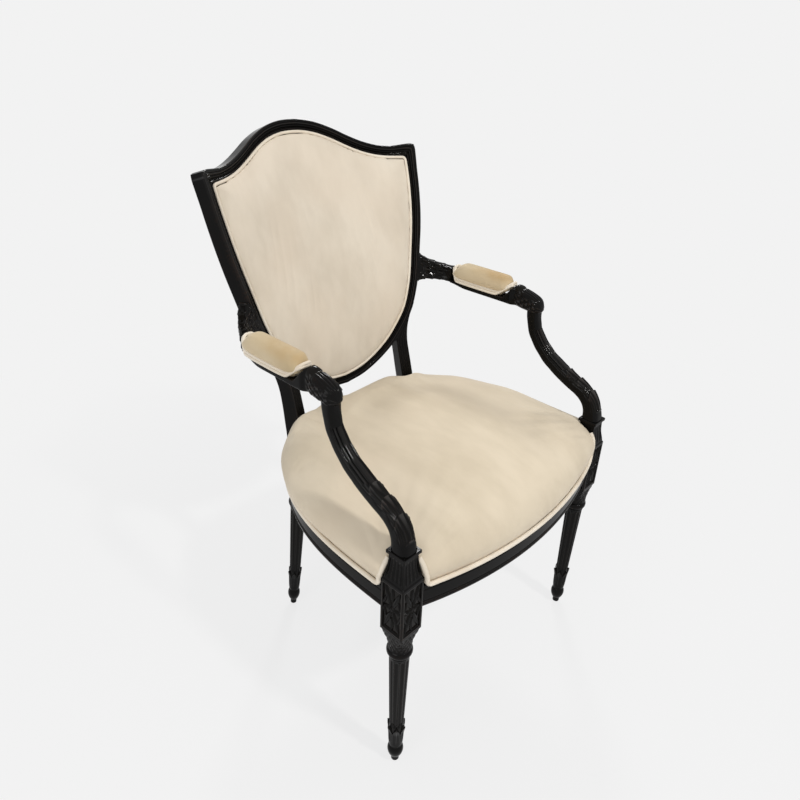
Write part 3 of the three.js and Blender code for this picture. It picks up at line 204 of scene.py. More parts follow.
class Shape:
    """Collects grids of points, in millimetres from the leg axis, and turns them into one mesh piece."""

    def __init__(self):
        self.points, self.quads, self.triangles, self.reliefs, self.count = [], [], [], [], 0

    def add_points(self, points, relief):
        self.points.append(points.reshape(-1, 3))
        self.reliefs.append(np.broadcast_to(relief, points.shape[:-1]).reshape(-1))
        start = self.count
        self.count += points[..., 0].size
        return start

    def add_faces(self, start, quads, triangles=None):
        """Adds the faces of the part that starts at a point, turned to point outwards by its signed
        volume."""
        p = np.concatenate(self.points)
        halves = [quads[:, [0, 1, 2]], quads[:, [0, 2, 3]]] + ([] if triangles is None else [triangles])
        halves = np.concatenate(halves)
        a, b, c = (p[halves[:, k]] - p[start] for k in range(3))
        turned = -1 if np.einsum("ij,ij->i", a, np.cross(b, c)).sum() < 0 else 1
        self.quads.append(quads[:, ::turned])
        if triangles is not None:
            self.triangles.append(triangles[:, ::turned])
        return self

    def tube(self, grid, relief=0.0, tips=None):
        """A grid whose rows are closed sections, shut at both ends by a fan to the middle of the last
        section, or to the two tips given."""
        rows, columns = grid.shape[:2]
        start = self.add_points(grid, relief)
        ends = grid[[0, -1]].mean(1) if tips is None else np.asarray(tips, float)
        tip = self.add_points(ends, 0.0)
        ring = np.arange(columns)
        after = (ring + 1) % columns
        last = start + (rows - 1) * columns
        low = np.stack([np.full(columns, tip), start + after, start + ring], -1)
        high = np.stack([np.full(columns, tip + 1), last + ring, last + after], -1)
        return self.add_faces(start, grid_faces(rows, columns, start), np.concatenate([low, high]))

    def hoop(self, grid, relief=0.0):
        """A closed tube whose last section joins its first, such as a cord round an outline."""
        rows, columns = grid.shape[:2]
        start = self.add_points(grid, relief)
        return self.add_faces(start, grid_faces(rows + 1, columns, 0) % (rows * columns) + start)

    def twin(self):
        """The left-hand shape."""
        other = Shape()
        other.points = [mirror(p) for p in self.points]
        other.quads = [q[:, ::-1] for q in self.quads]
        other.triangles = [t[:, ::-1] for t in self.triangles]
        other.reliefs, other.count = list(self.reliefs), self.count
        return other

    def build(self, name):
        """The mesh object at the origin, in metres, with its points in the frame of the whole part."""
        co = np.concatenate(self.points)
        co = (co + np.array([0, LEG_AXIS_Y, 0])) * MM
        quads = np.concatenate(self.quads)
        triangles = np.concatenate(self.triangles) if self.triangles else np.zeros((0, 3), int)
        mesh = bpy.data.meshes.new(name)
        mesh.vertices.add(len(co))
        mesh.vertices.foreach_set("co", co.astype(np.float32).ravel())
        corners = np.concatenate([quads.ravel(), triangles.ravel()]).astype(np.int32)
        mesh.loops.add(len(corners))
        mesh.loops.foreach_set("vertex_index", corners)
        starts = np.concatenate([np.arange(len(quads)) * 4, len(quads) * 4 + np.arange(len(triangles)) * 3])
        mesh.polygons.add(len(starts))
        mesh.polygons.foreach_set("loop_start", starts.astype(np.int32))
        mesh.update(calc_edges=True)
        mesh.polygons.foreach_set("use_smooth", np.ones(len(starts), bool))
        write_relief(mesh, np.concatenate(self.reliefs))
        mesh.set_sharp_from_angle(angle=math.radians(CREASE))
        return add_object(name, mesh)


def dress(piece, finish, *nodes):
    """Gives a finished piece its material and its body, and lets it stand for CAD nodes."""
    material, slot = finish
    piece.data.materials.append(material)
    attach(piece, "root")
    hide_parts(*nodes)


def make(shape, name, finish, *nodes):
    """A piece straight from its shape."""
    dress(shape.build(name), finish, *nodes)


def make_pair(shape, name, finish, node_name):
    """The right-hand piece and its left-hand twin, each standing for its own side's CAD node."""
    for side, form in (("right", shape), ("left", shape.twin())):
        make(form, f"{name}_{side}", finish, f"{node_name}_{side}")


# Materials


def feed(tree, made, sockets):
    """Gives a node's sockets their links or constants."""
    for name, value in sockets.items():
        if isinstance(value, bpy.types.NodeSocket):
            tree.links.new(value, made.inputs[name])
        else:
            made.inputs[name].default_value = value
    return made


def node(tree, kind, sockets=None, **settings):
    """A new node with its settings, and with its sockets fed."""
    made = tree.nodes.new(kind)
    for key, value in settings.items():
        setattr(made, key, value)
    return feed(tree, made, sockets or {})


def shader(name):
    """A new node material: its tree, its Principled BSDF and its Object coordinates."""
    material = bpy.data.materials.new(name)
    material.use_nodes = True
    tree = material.node_tree
    return material, tree, tree.nodes["Principled BSDF"], node(tree, "ShaderNodeTexCoord").outputs["Object"]


def relief_of(tree):
    return node(tree, "ShaderNodeAttribute", attribute_name="relief").outputs["Fac"]


def roughen(tree, skin, height, strength, distance):
    """Bump on the skin from a height."""
    ridges = node(tree, "ShaderNodeBump", {"Strength": strength, "Distance": distance, "Height": height})
    feed(tree, skin, {"Normal": ridges.outputs["Normal"]})


def noise(tree, coordinates, scale, detail=3.0, stretch=(1, 1, 1), roughness=0.55):
    """Noise on Object coordinates, drawn out along an axis by stretch."""
    mapping = node(tree, "ShaderNodeMapping", {"Scale": stretch, "Vector": coordinates})
    made = node(tree, "ShaderNodeTexNoise", {
        "Scale": scale, "Detail": detail, "Roughness": roughness, "Vector": mapping.outputs["Vector"]})
    return made.outputs["Fac"]


def ramp(tree, value, *stops):
    """Colour ramp through two (place, colour) stops."""
    made = node(tree, "ShaderNodeValToRGB", {"Fac": value})
    for point, (place, colour) in zip(made.color_ramp.elements, stops):
        point.position, point.color = place, (*colour, 1)
    return made.outputs["Color"]


def grey(value):
    return (value, value, value)


def mix(tree, share, a, b):
    """Mix of two colours or links by a share or a link."""
    made = node(tree, "ShaderNodeMix", data_type="RGBA")
    for socket, value in (("Factor", share), ("A", a), ("B", b)):
        slots = [s for s in made.inputs if s.name == socket and s.enabled]
        if isinstance(value, bpy.types.NodeSocket):
            tree.links.new(value, slots[0])
        else:
            slots[0].default_value = value if socket == "Factor" else (*value, 1)
    return [s for s in made.outputs if s.enabled][0]


def calc(tree, operation, a, b, clamp=False):
    return node(tree, "ShaderNodeMath", {0: a, 1: b}, operation=operation, use_clamp=clamp).outputs[0]


def wear_group():
    """Edge wear: a mask from the carved relief and a coarse and a fine noise.
    Where the relief stands high and the noises agree, the finish is rubbed through."""
    group = bpy.data.node_groups.new("edge wear", "ShaderNodeTree")
    for name, way in (("Relief", "INPUT"), ("Amount", "INPUT"), ("Mask", "OUTPUT")):
        group.interface.new_socket(name, in_out=way, socket_type="NodeSocketFloat")
    inside, outside = group.nodes.new("NodeGroupInput"), group.nodes.new("NodeGroupOutput")
    place = node(group, "ShaderNodeTexCoord").outputs["Object"]
    coarse = ramp(group, noise(group, place, 16, 4), (0.42, grey(0)), (0.7, grey(1)))
    fine = ramp(group, noise(group, place, 260, 3), (0.4, grey(0)), (0.62, grey(1)))
    high = calc(group, "MULTIPLY", inside.outputs["Relief"], inside.outputs["Amount"], clamp=True)
    patches = calc(group, "MULTIPLY", coarse, fine)
    group.links.new(calc(group, "MULTIPLY", high, patches, clamp=True), outside.inputs["Mask"])
    return group


def black_lacquer():
    """Glossy black lacquer over dark wood, under a thin clear coat: brown where carved edges are rubbed,
    painted highlight as a paler grey where the carving stands proud, dust in the hollows, fine brush marks
    in the gloss."""
    material, tree, skin, place = shader("black lacquer")
    relief = relief_of(tree)
    worn = node(tree, "ShaderNodeGroup", node_tree=wear_group())
    worn = feed(tree, worn, {"Relief": relief, "Amount": 0.9}).outputs["Mask"]
    tone = mix(tree, noise(tree, place, 9, 3), (0.0022, 0.0021, 0.0022), (0.0048, 0.0044, 0.004))
    hollow = calc(tree, "MULTIPLY", relief, -1.0, clamp=True)
    dust_and_highlight = mix(tree, calc(tree, "MULTIPLY", hollow, 0.3), tone, (0.014, 0.011, 0.008))
    # Painted highlight: the carving that stands proud is paler grey, standing in for light caught by the
    # raised relief
    proud_highlight = calc(tree, "SUBTRACT", relief, 0.4, clamp=True)
    dust_and_highlight = mix(tree, proud_highlight, dust_and_highlight, (0.034, 0.032, 0.03))
    rough = ramp(tree, noise(tree, place, 60, 5, roughness=0.65), (0.3, grey(0.09)), (0.72, grey(0.17)))
    feed(tree, skin, {
        "Base Color": mix(tree, calc(tree, "MULTIPLY", worn, 0.3), dust_and_highlight, (0.085, 0.038, 0.018)),
        "Roughness": calc(tree, "ADD", rough, calc(tree, "MULTIPLY", worn, 0.25)),
        "Specular IOR Level": 0.02, "Coat Weight": 0.15, "Coat Roughness": 0.09, "Coat IOR": 1.5})
    roughen(tree, skin, noise(tree, place, 420, 3), 0.05, 0.0006)
    return material


def velvet(name, light, dark, warm, wear=0.0):
    """Short brushed pile: broad strokes of lighter and darker nap, faint warm stains, a soft sheen and
    a fine fibre bump. Wear yellows what stands highest in the relief."""
    material, tree, skin, place = shader(name)
    strokes = noise(tree, place, 11, 4, stretch=(1.6, 0.7, 0.8))
    nap = ramp(tree, strokes, (0.34, dark), (0.62, light))
    stain = ramp(tree, noise(tree, place, 5.5, 2), (0.46, grey(0)), (0.72, grey(1)))
    colour = mix(tree, calc(tree, "MULTIPLY", stain, 0.45), nap, warm)
    if wear:
        patch = ramp(tree, noise(tree, place, 26, 4), (0.3, grey(0.25)), (0.66, grey(1)))
        high = calc(tree, "MULTIPLY", relief_of(tree), patch, clamp=True)
        colour = mix(tree, calc(tree, "MULTIPLY", high, wear, clamp=True), colour, (0.45, 0.31, 0.15))
    feed(tree, skin, {
        "Base Color": colour, "Roughness": 0.85, "Specular IOR Level": 0.2, "Sheen Weight": 0.25,
        "Sheen Roughness": 0.4, "Sheen Tint": (1.0, 0.97, 0.9, 1)})
    roughen(tree, skin, noise(tree, place, 900, 2), 0.25, 0.0008)
    return material


def plain(name, light, dark, scale, roughness, stretch=(1, 1, 1), metallic=0.0):
    """Simple finish for the pieces that hardly show: two tones through drawn-out noise, with its bump."""
    material, tree, skin, place = shader(name)
    grain = noise(tree, place, scale, 4, stretch=stretch)
    tones = ramp(tree, grain, (0.32, dark), (0.68, light))
    feed(tree, skin, {"Base Color": tones, "Roughness": roughness, "Metallic": metallic})
    roughen(tree, skin, grain, 0.4, 0.0004)
    return material


# Finishes of the pieces: each material with its slot in the record
BLACK = black_lacquer(), "black_lacquer"
# Painted shade: the seat velvet is a darker copy of the back's cream velvet, set darker to offset the
# stronger light on the seat
BACK_VELVET, SHADED_SEAT_VELVET, PAD_VELVET = ((velvet(*look), "velvet") for look in (
    ("back velvet", (0.7, 0.625, 0.515), (0.62, 0.545, 0.44), (0.69, 0.59, 0.47)),
    ("seat velvet painted darker", (0.665, 0.577, 0.442), (0.59, 0.507, 0.38), (0.625, 0.525, 0.4)),
    ("arm pad velvet", (0.6, 0.5, 0.34), (0.46, 0.37, 0.23), (0.52, 0.38, 0.21), 0.85)))
PIPING = velvet("piping velvet", (0.78, 0.71, 0.6), (0.68, 0.6, 0.49), (0.7, 0.6, 0.46)), "piping"

# Materials of the solids that stay as they are
BEECH = plain("beech", (0.5, 0.33, 0.17), (0.36, 0.22, 0.1), 30, 0.6, stretch=(1, 1, 6))
JUTE = plain("jute webbing", (0.33, 0.24, 0.12), (0.2, 0.14, 0.06), 300, 0.95)
CAMBRIC = plain("black cambric", (0.02, 0.02, 0.022), (0.008, 0.008, 0.009), 700, 0.9)
STEEL = plain("screw steel", (0.5, 0.5, 0.48), (0.35, 0.34, 0.33), 90, 0.35, metallic=1.0)


# Surface of the back

BACK_START = POST_FACE_Y - HOLLOW * (1 - (POST_HALF / BACK_HALF) ** 2)
BACK_MIDDLE = BACK_HEIGHT / 2


def back_y(x, z):
    """Front of the back: rakes back with height, bows forward in the middle of its height, and is
    hollowed across so that its middle lies furthest back."""
    up = z - BACK_BASE
    return BACK_START + RAKE * up - BOW * (1 - ((up - BACK_MIDDLE) / BACK_MIDDLE) ** 2) \
        + HOLLOW * (1 - (x / BACK_HALF) ** 2)


def lean_at(z):
    """How far the front of the back goes back for each millimetre up."""
    return RAKE + 2 * BOW * (z - BACK_BASE - BACK_MIDDLE) / BACK_MIDDLE ** 2


def carried(face, x, lean, depth):
    """Points of the face, carried a depth square to a surface that leans so and is hollowed across."""
    way = unit(stack(2 * HOLLOW * x / BACK_HALF ** 2, 1.0, -lean))
    return face + np.broadcast_to(depth, way.shape[:-1])[..., None] * way


def on_back(x, z, depth):
    """The point at x and z on the front of the back, carried a depth square to that surface."""
    return carried(stack(x, back_y(x, z), z), x, lean_at(z), depth)


SIDE_SHARES = np.array([
    [0, 0], [0.16, 0.012], [0.29, 0.038], [0.41, 0.075], [0.53, 0.127], [0.65, 0.202], [0.735, 0.272],
    [0.79, 0.345], [0.84, 0.435], [0.886, 0.549], [0.93, 0.66], [0.962, 0.765], [0.987, 0.885], [1, 1]])
CREST_SHARES = np.array([
    [1, 0], [0.86, 0.005], [0.74, 0.06], [0.62, 0.2], [0.5, 0.41], [0.37, 0.67], [0.23, 0.88],
    [0.1, 0.98], [0, 1]])
SIDE_LINE = smooth_line(SIDE_SHARES * [SHIELD_HALF, EAR_Z - SHIELD_LOW] + [0, SHIELD_LOW], 260)
CREST_LINE = smooth_line(CREST_SHARES * [SHIELD_HALF, CREST_RISE] + [0, EAR_Z], 130)


def inner_x(z):
    """Inner edge of the shield's side at a height."""
    return np.interp(z, SIDE_LINE[:, 1], SIDE_LINE[:, 0])


def stile_x(z):
    """Outer edge of the post and stile: upright below, then following the shield at a face's width."""
    start, join = BACK_BASE + 62, SPLIT_Z
    share = np.clip((z - start) / (join - start), 0, None)
    low = lerp(POST_HALF, inner_x(join) + SIDE_FACE, share ** 2)
    return np.where(z >= join, inner_x(z) + SIDE_FACE, low)


def thickness_at(z):
    """Thickness of the back frame: full up to the arms, then thinning evenly to the ears."""
    start = ARM_UNDER + ROOT_HEIGHT
    return lerp(FRAME_THICK, EAR_THICK, np.clip((z - start) / (EAR_Z + EAR[1] - start), 0, 1))


def on_post(x, z, depth):
    """The point at x and z on the front of the post, carried a depth into the wood. Below the back the
    post keeps the back's lean, and curves forward as the square of the drop."""
    drop = np.maximum(0, BACK_BASE - z)
    lean = RAKE - 4 * BOW / BACK_HEIGHT
    knee = POST_KNEE * (drop / (BACK_BASE - BLOCK_LOW)) ** 2
    face = stack(x, back_y(x, np.maximum(z, BACK_BASE)) - lean * drop + knee, z)
    return carried(face, x, lean_at(z) * ease(z, BACK_BASE - 24, BACK_BASE + 32), depth)


def moulding(share):
    """Depth of the carved face of the shield frame, and its relief, across it from the outer edge at 0
    to the inner edge at 1: a plain crowned band, a groove, a rounded swell between fine lines, a
    shallow cove, a deep cove and a thin bead on the inner edge."""
    depth = hills(share, (1.6, 0, 0.045), (0.9, 0.3, 0.022), (0.8, 0.5, 0.018), (0.8, 0.57, 0.018))
    depth = hills(share, (3.2, 0.79, 0.085), (1.6, 1, 0.035), base=depth + 1.2 * ease(share, 0.3, 0.6))
    return depth, hills(share, (0.9, 0.045, 0.05), (0.8, 0.41, 0.08), (0.7, 0.945, 0.04),
                        (-0.8, 0.79, 0.07), (-0.5, 0.3, 0.02))


FACE_SHARES = np.linspace(0, 1, 61)


def frame_section(inner, outer, thick):
    """Closed sections of the shield frame at stations given by their inner and outer points (x, z) and
    their thickness: the moulded face from the outer to the inner edge, the step of the rebate that
    holds the upholstery, the back, and the outer side between its two arrises."""
    depth, relief = moulding(FACE_SHARES)
    width = np.linalg.norm(outer - inner, axis=1)[:, None]
    lip = -REBATE_WIDTH / width

    def row(share, deep):
        share = np.broadcast_to(share, (len(inner), share.shape[-1]))
        place = inner[:, None] + (outer - inner)[:, None] * share[..., None]
        return on_back(place[..., 0], place[..., 1], np.broadcast_to(deep, share.shape))

    thick = thick[:, None]
    sections = [
        row(1 - FACE_SHARES, depth),
        row(np.concatenate([lip * 0, lip], 1), REBATE_DEPTH),
        row(np.concatenate([lip, lip / 2, lip * 0, lip * 0 + 0.5, lip * 0 + 0.93], 1), thick),
        row(np.ones(3), np.concatenate([thick - 1, thick / 2, thick * 0 + 2.4], 1)),
    ]
    reliefs = np.concatenate([relief, [-0.6, -0.6], np.zeros(4), [0.3, 0.3, 0, 0.6]])
    return np.concatenate(sections, 1), np.broadcast_to(reliefs, (len(inner), len(reliefs)))


def to_mitre(inner, square, run, reach):
    """Outer points of the frame beside its inner ones: off them by square, and within a reach of the
    mitre turning to its slope, where the outer corner of the ear is rounded back."""
    outer = inner + lerp(square, EAR, 1 - ease(run, 0, reach)[:, None])
    return outer - (EAR_ROUND * bump(run, 0, EAR_ROUND_REACH))[:, None] * unit(EAR)


def outward(line):
    """Unit normals of a line in (x, z), on its right-hand side as it is walked."""
    way = unit(np.gradient(line, axis=0))
    return np.stack([way[:, 1], -way[:, 0]], -1)


def stile_stations():
    """Inner and outer points of the stile from the split to the mitre, level across."""
    inner = SIDE_LINE[SIDE_LINE[:, 1] >= SPLIT_Z]
    inner = np.concatenate([[[inner_x(SPLIT_Z), SPLIT_Z]], inner])
    return inner, to_mitre(inner, np.array([SIDE_FACE, 0.0]), EAR_Z - inner[:, 1], 34)


def crest_stations():
    """Inner and outer points of the crest from ear to ear, square to its line."""
    outer = to_mitre(CREST_LINE, outward(CREST_LINE) * CREST_FACE, SHIELD_HALF - CREST_LINE[:, 0], 30)
    return [np.concatenate([p, p[:-1][::-1] * [-1, 1]]) for p in (CREST_LINE, outer)]


def lower_stations():
    """Inner and outer points of the lower rail, carried on over the faces of the posts up to the split,
    where its section lies level to meet the stile's."""
    half = SIDE_LINE[SIDE_LINE[:, 1] < SPLIT_Z]
    half = np.concatenate([half, [[inner_x(SPLIT_Z), SPLIT_Z]]])
    square = outward(half)
    level = ease(half[:, 1], SPLIT_Z - 62, SPLIT_Z)[:, None]
    way = unit(lerp(square, np.array([1.0, 0.0]), level))
    width = LOWER_FACE / np.einsum("ij,ij->i", way, square)
    outer = half + way * width[:, None]
    return [np.concatenate([p[1:][::-1] * [-1, 1], p]) for p in (half, outer)]


def shield_frame():
    """Crest rail and lower rail of the shield, each one section carried along its own line."""
    inner, outer = crest_stations()
    crest = Shape().tube(*frame_section(inner, outer, thickness_at(outer[:, 1])))
    inner, outer = lower_stations()
    over_post = ease(np.abs(inner[:, 0]), POST_HALF - POST_WIDTH + 2, POST_HALF - POST_WIDTH + 8)
    lower = Shape().tube(*frame_section(inner, outer, lerp(FRAME_THICK, REBATE_DEPTH + 2, over_post)))
    make(crest, "crest_rail_moulded", BLACK, "crest_rail")
    make(lower, "shield_lower_rail_moulded", BLACK, "shield_lower_rail")


# Turned legs

LEG_GROUPS = [
    ([(0, 5.5), (0.7, 6.8), (11.8, 7.2)], 6),
    ([(12.2, 8.4), (14.5, 10.0), (20, 12.3), (26, 13.6), (31, 13.7), (35.5, 12.9), (39, 11.5)], 26),
    ([(39.6, 10.9), (41.8, 10.7), (44, 11.0)], 5),
    ([(44.8, 11.8), (47, 12.2), (60, 12.7), (75, 13.3), (86, 14.2), (93.4, 15.0)], 34),
    ([(94.6, 14.5), (95.2, 12.4)], 3),
    ([(95.8, 12.2), (263, 16.4)], 86),
    ([(263.6, 17.2), (265.4, 17.6), (267.8, 17.4), (268.6, 16.6)], 7),
    ([(269, 17.8), (270.6, 19.6), (273.4, 20.7), (276.8, 20.9), (279.8, 20.3), (281.8, 19),
      (282.6, 17.8)], 18),
    ([(283, 18.8), (288, 18.7), (298, 19.5), (308, 20.7), (316, 21.5), (322, 21.9)], 44),
]
LEG_LENGTH = 322
CUFF_LOW, CUFF_TOP, CUFF_BARE = 44.5, 95.4, 12.4
FLUTES, FLUTE_LOW, FLUTE_TOP, FLUTE_DEPTH = 12, 98.5, 260, 1.5
NECK_LOW, NECK_TOP, NECK_SCALE = 284, 321, 6.4


def flute(turn, half_width):
    """Depth, 0 to 1, of a round-bottomed flute: half a circle of the given half width, in turns of 1."""
    return dome(turn / np.maximum(half_width, 1e-6))


def scales(around, up):
    """Overlapping small leaves, 0 to 1: in each row a rounded tongue that rises to its tip, with every
    other row moved by half a tongue."""
    row = np.floor(up)
    a = (around + 0.5 * (row % 2)) % 1 - 0.5
    b = up - row
    tongue = np.clip(1 - (np.abs(a) / (0.5 - 0.34 * b ** 2)) ** 2, 0, 1)
    return tongue ** 0.6 * (0.45 + 0.55 * b) + 0.25 * bump(a, 0, 0.07)


def turned_leg(length, girth, squared=0.0):
    """Turned leg about the z axis from 0 to its length: its profile's radius at each height, less the
    flutes of the shaft, plus the leaves of the cuff and of the neck. A squared leg's neck grows
    towards a square as it nears the block."""
    z, r = np.concatenate([smooth_line(points, count) for points, count in LEG_GROUPS]).T
    turn = np.linspace(0, 1, 14 * FLUTES, endpoint=False)
    around, z = np.meshgrid(turn * FLUTES, z)
    r = np.broadcast_to(r[:, None], z.shape).copy()
    relief = np.zeros_like(r)

    local = (around + 0.5) % 1 - 0.5
    on_shaft = (z > FLUTE_LOW) & (z < FLUTE_TOP)
    near_end = np.minimum(z - FLUTE_LOW, FLUTE_TOP - z)
    half = 0.39 * dome(1 - np.clip(near_end / 3.4, 0, 1))
    hollow = np.where(on_shaft, flute(local, half), 0)
    r -= FLUTE_DEPTH * hollow
    relief += np.where(on_shaft, 0.55 * (hollow < 0.05) - 0.5 * hollow, 0)

    leaf = (around / 2 + 0.25) % 1 - 0.5
    edge = 95 - 15 * np.abs(leaf * 2) ** 1.4
    on_cuff = (z > CUFF_LOW) & (z < CUFF_TOP)
    rise = ease(z, 46, 60)
    vein = 0.7 * bump(np.abs(leaf), 0, 0.035) + 0.45 * np.cos(leaf * 2 * np.pi * 5) * (1 - ease(z, 78, 92))
    tip = 1.7 * ease(z, 76, 94) * (1 - np.abs(leaf * 2)) ** 0.7
    cuff = rise * (0.6 * vein + tip)
    bare = on_cuff & (z > edge)
    r = np.where(on_cuff, r + cuff, r)
    r = np.where(bare, np.minimum(r, CUFF_BARE), r)
    leaves = 0.7 * ease(z, edge - 7, edge) + 0.35 * vein * rise
    relief = np.where(on_cuff, np.where(bare, -0.6, leaves), relief)

    on_neck = ease(z, NECK_LOW, NECK_LOW + 4) * (1 - ease(z, NECK_TOP - 4, NECK_TOP))
    carved = scales(around * 1.5, (z - NECK_LOW) / NECK_SCALE)
    r += on_neck * (1.0 * carved - 0.6)
    relief += on_neck * (1.3 * carved - 0.7)
    relief += bump(z, 28, 7) * 0.25 + bump(z, 276, 5) * 0.35
    angle = 2 * np.pi * around / FLUTES
    corner = 1 / np.maximum(np.abs(np.cos(angle)), np.abs(np.sin(angle))) - 1
    r *= girth * (1 + squared * ease(z, 292, 320) * corner)
    return stack(r * np.cos(angle), r * np.sin(angle), z * length / LEG_LENGTH), relief


# Squared head of the front leg

HEAD_LOW, HEAD_TOP = 322, 424
PANEL_HALF_WIDTH, PANEL_HALF_HEIGHT, PANEL_DEPTH = 18.4, 44.5, 2.9
HEAD_HALVES = np.array([
    (311, 13.0), (313, 15.6), (317.5, 18.3), (321.5, 21.4), (322.6, 22.3), (422.6, 22.3), (424, 21.7),
    (425.6, 20.6), (429, 20.1), (436, 18.7), (443, 17.1), (451, 16), (460, 15.35), (468.6, 15.2),
    (469.6, 15.6), (470, 17.6), (470.7, 18.3), (475.2, 18.3), (476, 17.6)])
PANEL_LEAVES = [((2.0, 5), (15.5, 42), 3.9), ((0.0, 16), (0.0, 43), 3.6), ((17.5, 3), (11.0, 23), 2.4),
                ((3.0, 1), (17.0, 1), 2.2)]


def leaf_blade(across, up, root, tip, wide):
    """A pointed leaf from root to tip, 0 to 1: an ellipse-like hump across it, pointed at both ends,
    with a groove along its middle."""
    axis = np.subtract(tip, root)
    long = np.hypot(*axis)
    along = ((across - root[0]) * axis[0] + (up - root[1]) * axis[1]) / long ** 2
    aside = ((across - root[0]) * axis[1] - (up - root[1]) * axis[0]) / long
    reach = wide * np.sin(np.pi * np.clip(along, 0, 1) ** 0.8) ** 0.75 + 1e-6
    hump = dome(aside / reach) * (along > 0) * (along < 1)
    return hump * (1 - 0.4 * bump(aside, 0, 0.55))


def panel_relief(t, z):
    """Carving on a face of the block, in mm, with t from -1 to 1 across it: a sunk panel inside a plain
    border; in it four long leaves cross at a boss, with a short leaf at each end and on each side."""
    middle = (HEAD_LOW + HEAD_TOP) / 2
    across, up = t * BLOCK_HALF, z - middle
    inside = np.minimum(PANEL_HALF_WIDTH - np.abs(across), PANEL_HALF_HEIGHT - np.abs(up))
    sunk = ease(inside, 0, 1.1)
    border = bump(inside, -0.9, 0.8)
    from_boss = np.hypot(across, up)
    carved = dome(from_boss / 3.6) + 0.5 * bump(from_boss, 5.2, 0.7)
    across, up = np.abs(across), np.abs(up)
    for leaf in PANEL_LEAVES:
        for side in (across, -across):
            carved = np.maximum(carved, leaf_blade(side, up, *leaf))
    return -PANEL_DEPTH * sunk + 0.3 * border + 2.6 * sunk * carved, sunk, border


def square_head():
    """Block, neck and plate of the right front leg: a square section of changing size, with the carved
    panels on the block, four flutes on each face of the neck and rounded corners."""
    z = np.unique(np.concatenate([np.linspace(324, 422, 150), np.linspace(424, 470, 50), HEAD_HALVES[:, 0]]))
    half = np.interp(z, HEAD_HALVES[:, 0], HEAD_HALVES[:, 1])
    t, z = np.meshgrid(np.linspace(-1, 1, 64, endpoint=False), z)
    half = np.broadcast_to(half[:, None], z.shape)
    carved, sunk, border = panel_relief(t, z)
    on_block = ease(z, HEAD_LOW, HEAD_LOW + 2) * (1 - ease(z, HEAD_TOP - 2, HEAD_TOP))
    on_neck = ease(z, 427, 434) * (1 - ease(z, 460, 466))
    local = (t * 2.5 + 0.5) % 1 - 0.5
    grooves = flute(local, 0.36) * (np.abs(t) < 0.8)
    corner = bump(np.abs(t), 1.0, 0.03)
    out = on_block * carved - on_neck * 1.0 * grooves - 0.7 * corner
    relief = on_block * (1.0 * border + 0.45 * carved * sunk + 0.2) + 0.6 * corner
    relief = relief - on_neck * (0.7 * grooves - 0.3) + 0.5 * bump(z, 472, 3)
    x, y = half + out, half * t
    quarters = [(math.cos(k * math.pi / 2), math.sin(k * math.pi / 2)) for k in range(4)]
    faces = [stack(LEG_X + x * c - y * s, x * s + y * c, z) for c, s in quarters]
    return np.concatenate(faces, 1), np.concatenate([relief] * 4, 1)


def front_leg():
    """Right front leg: turned below, squared above, both in one piece."""
    shaft, relief = turned_leg(LEG_LENGTH, 1.0, 0.75)
    shape = Shape().tube(shaft + np.array([LEG_X, 0, 0]), relief)
    return shape.tube(*square_head())


# Back posts


def rear_swell(z):
    """1 at the square block of the rear leg, easing to 0 on the post above it."""
    return 1 - np.clip((z - 408) / 32, 0, 1)


def band_edge(z):
    """Outer edge, in x, of the lower rail's moulding where it crosses the face of the post."""
    outer = lower_stations()[1]
    right = outer[len(outer) // 2:]
    return np.interp(z, right[:, 1], right[:, 0])


def post_section():
    """Closed sections of the right post from its block up to the split: a fluted face that narrows to
    a point where the lower rail's moulding crosses it, a flat sunk behind that moulding, and plain
    sides. The block below is plain, wider and deeper."""
    z = np.concatenate([np.linspace(BLOCK_LOW - 4, 408, 56), np.linspace(409, SPLIT_Z, 150)])[:, None]
    swell = rear_swell(z)
    low = 1 - ease(z, BLOCK_LOW, BLOCK_LOW + 2)
    wide, deep = REAR_BLOCK_WIDER * swell - 3 * low, REAR_BLOCK_DEEPER * swell - 3 * low
    out = stile_x(z) + wide
    inn = stile_x(z) - POST_WIDTH - wide
    edge = np.minimum(np.maximum(inn, band_edge(z) - 0.5), out - 0.3)
    share = np.linspace(0, 1, 49)[None, :]
    room = np.clip((out - edge) / POST_WIDTH, 0, 1)
    ends = ease(z, 442, 452) * room ** 0.8
    groove = flute((share * 4.4 - 0.2) % 1 - 0.5, 0.37) * ((share > 0.05) & (share < 0.95))
    face_depth = -deep + 1.5 * ends * groove + 1.3 * bump(share, 0, 0.05) + 1.0 * bump(share, 1, 0.05) * room
    face = on_post(out + (edge - out) * share, z + 0 * share, face_depth)
    thick = FRAME_THICK + deep + 6 * (1 - ease(z, 430, 540)) * ease(z, BLOCK_LOW, BLOCK_LOW + 40)
    corners = [(edge, REBATE_DEPTH - 0.5), (inn, REBATE_DEPTH - 0.5), (inn, thick * 0.5), (inn, thick - 1.2),
               (inn + 1.2, thick), (lerp(inn, out, 0.5), thick), (out - 1.2, thick), (out, thick - 1.2),
               (out, thick * 0.5), (out, 1.8 - deep)]
    around = np.stack([on_post(x[:, 0], z[:, 0], np.broadcast_to(d, x.shape)[:, 0]) for x, d in corners], 1)
    relief = ends * (0.25 - 0.9 * groove) + 0.5 * bump(share, 0, 0.06) + 0.4 * bump(share, 1, 0.06)
    edges = np.broadcast_to(np.array([-0.5, -0.5, 0, 0.4, 0.4, 0, 0.4, 0.4, 0, 0.5]), (len(z), len(corners)))
    return np.concatenate([face, around], 1), np.concatenate([relief, edges], 1)


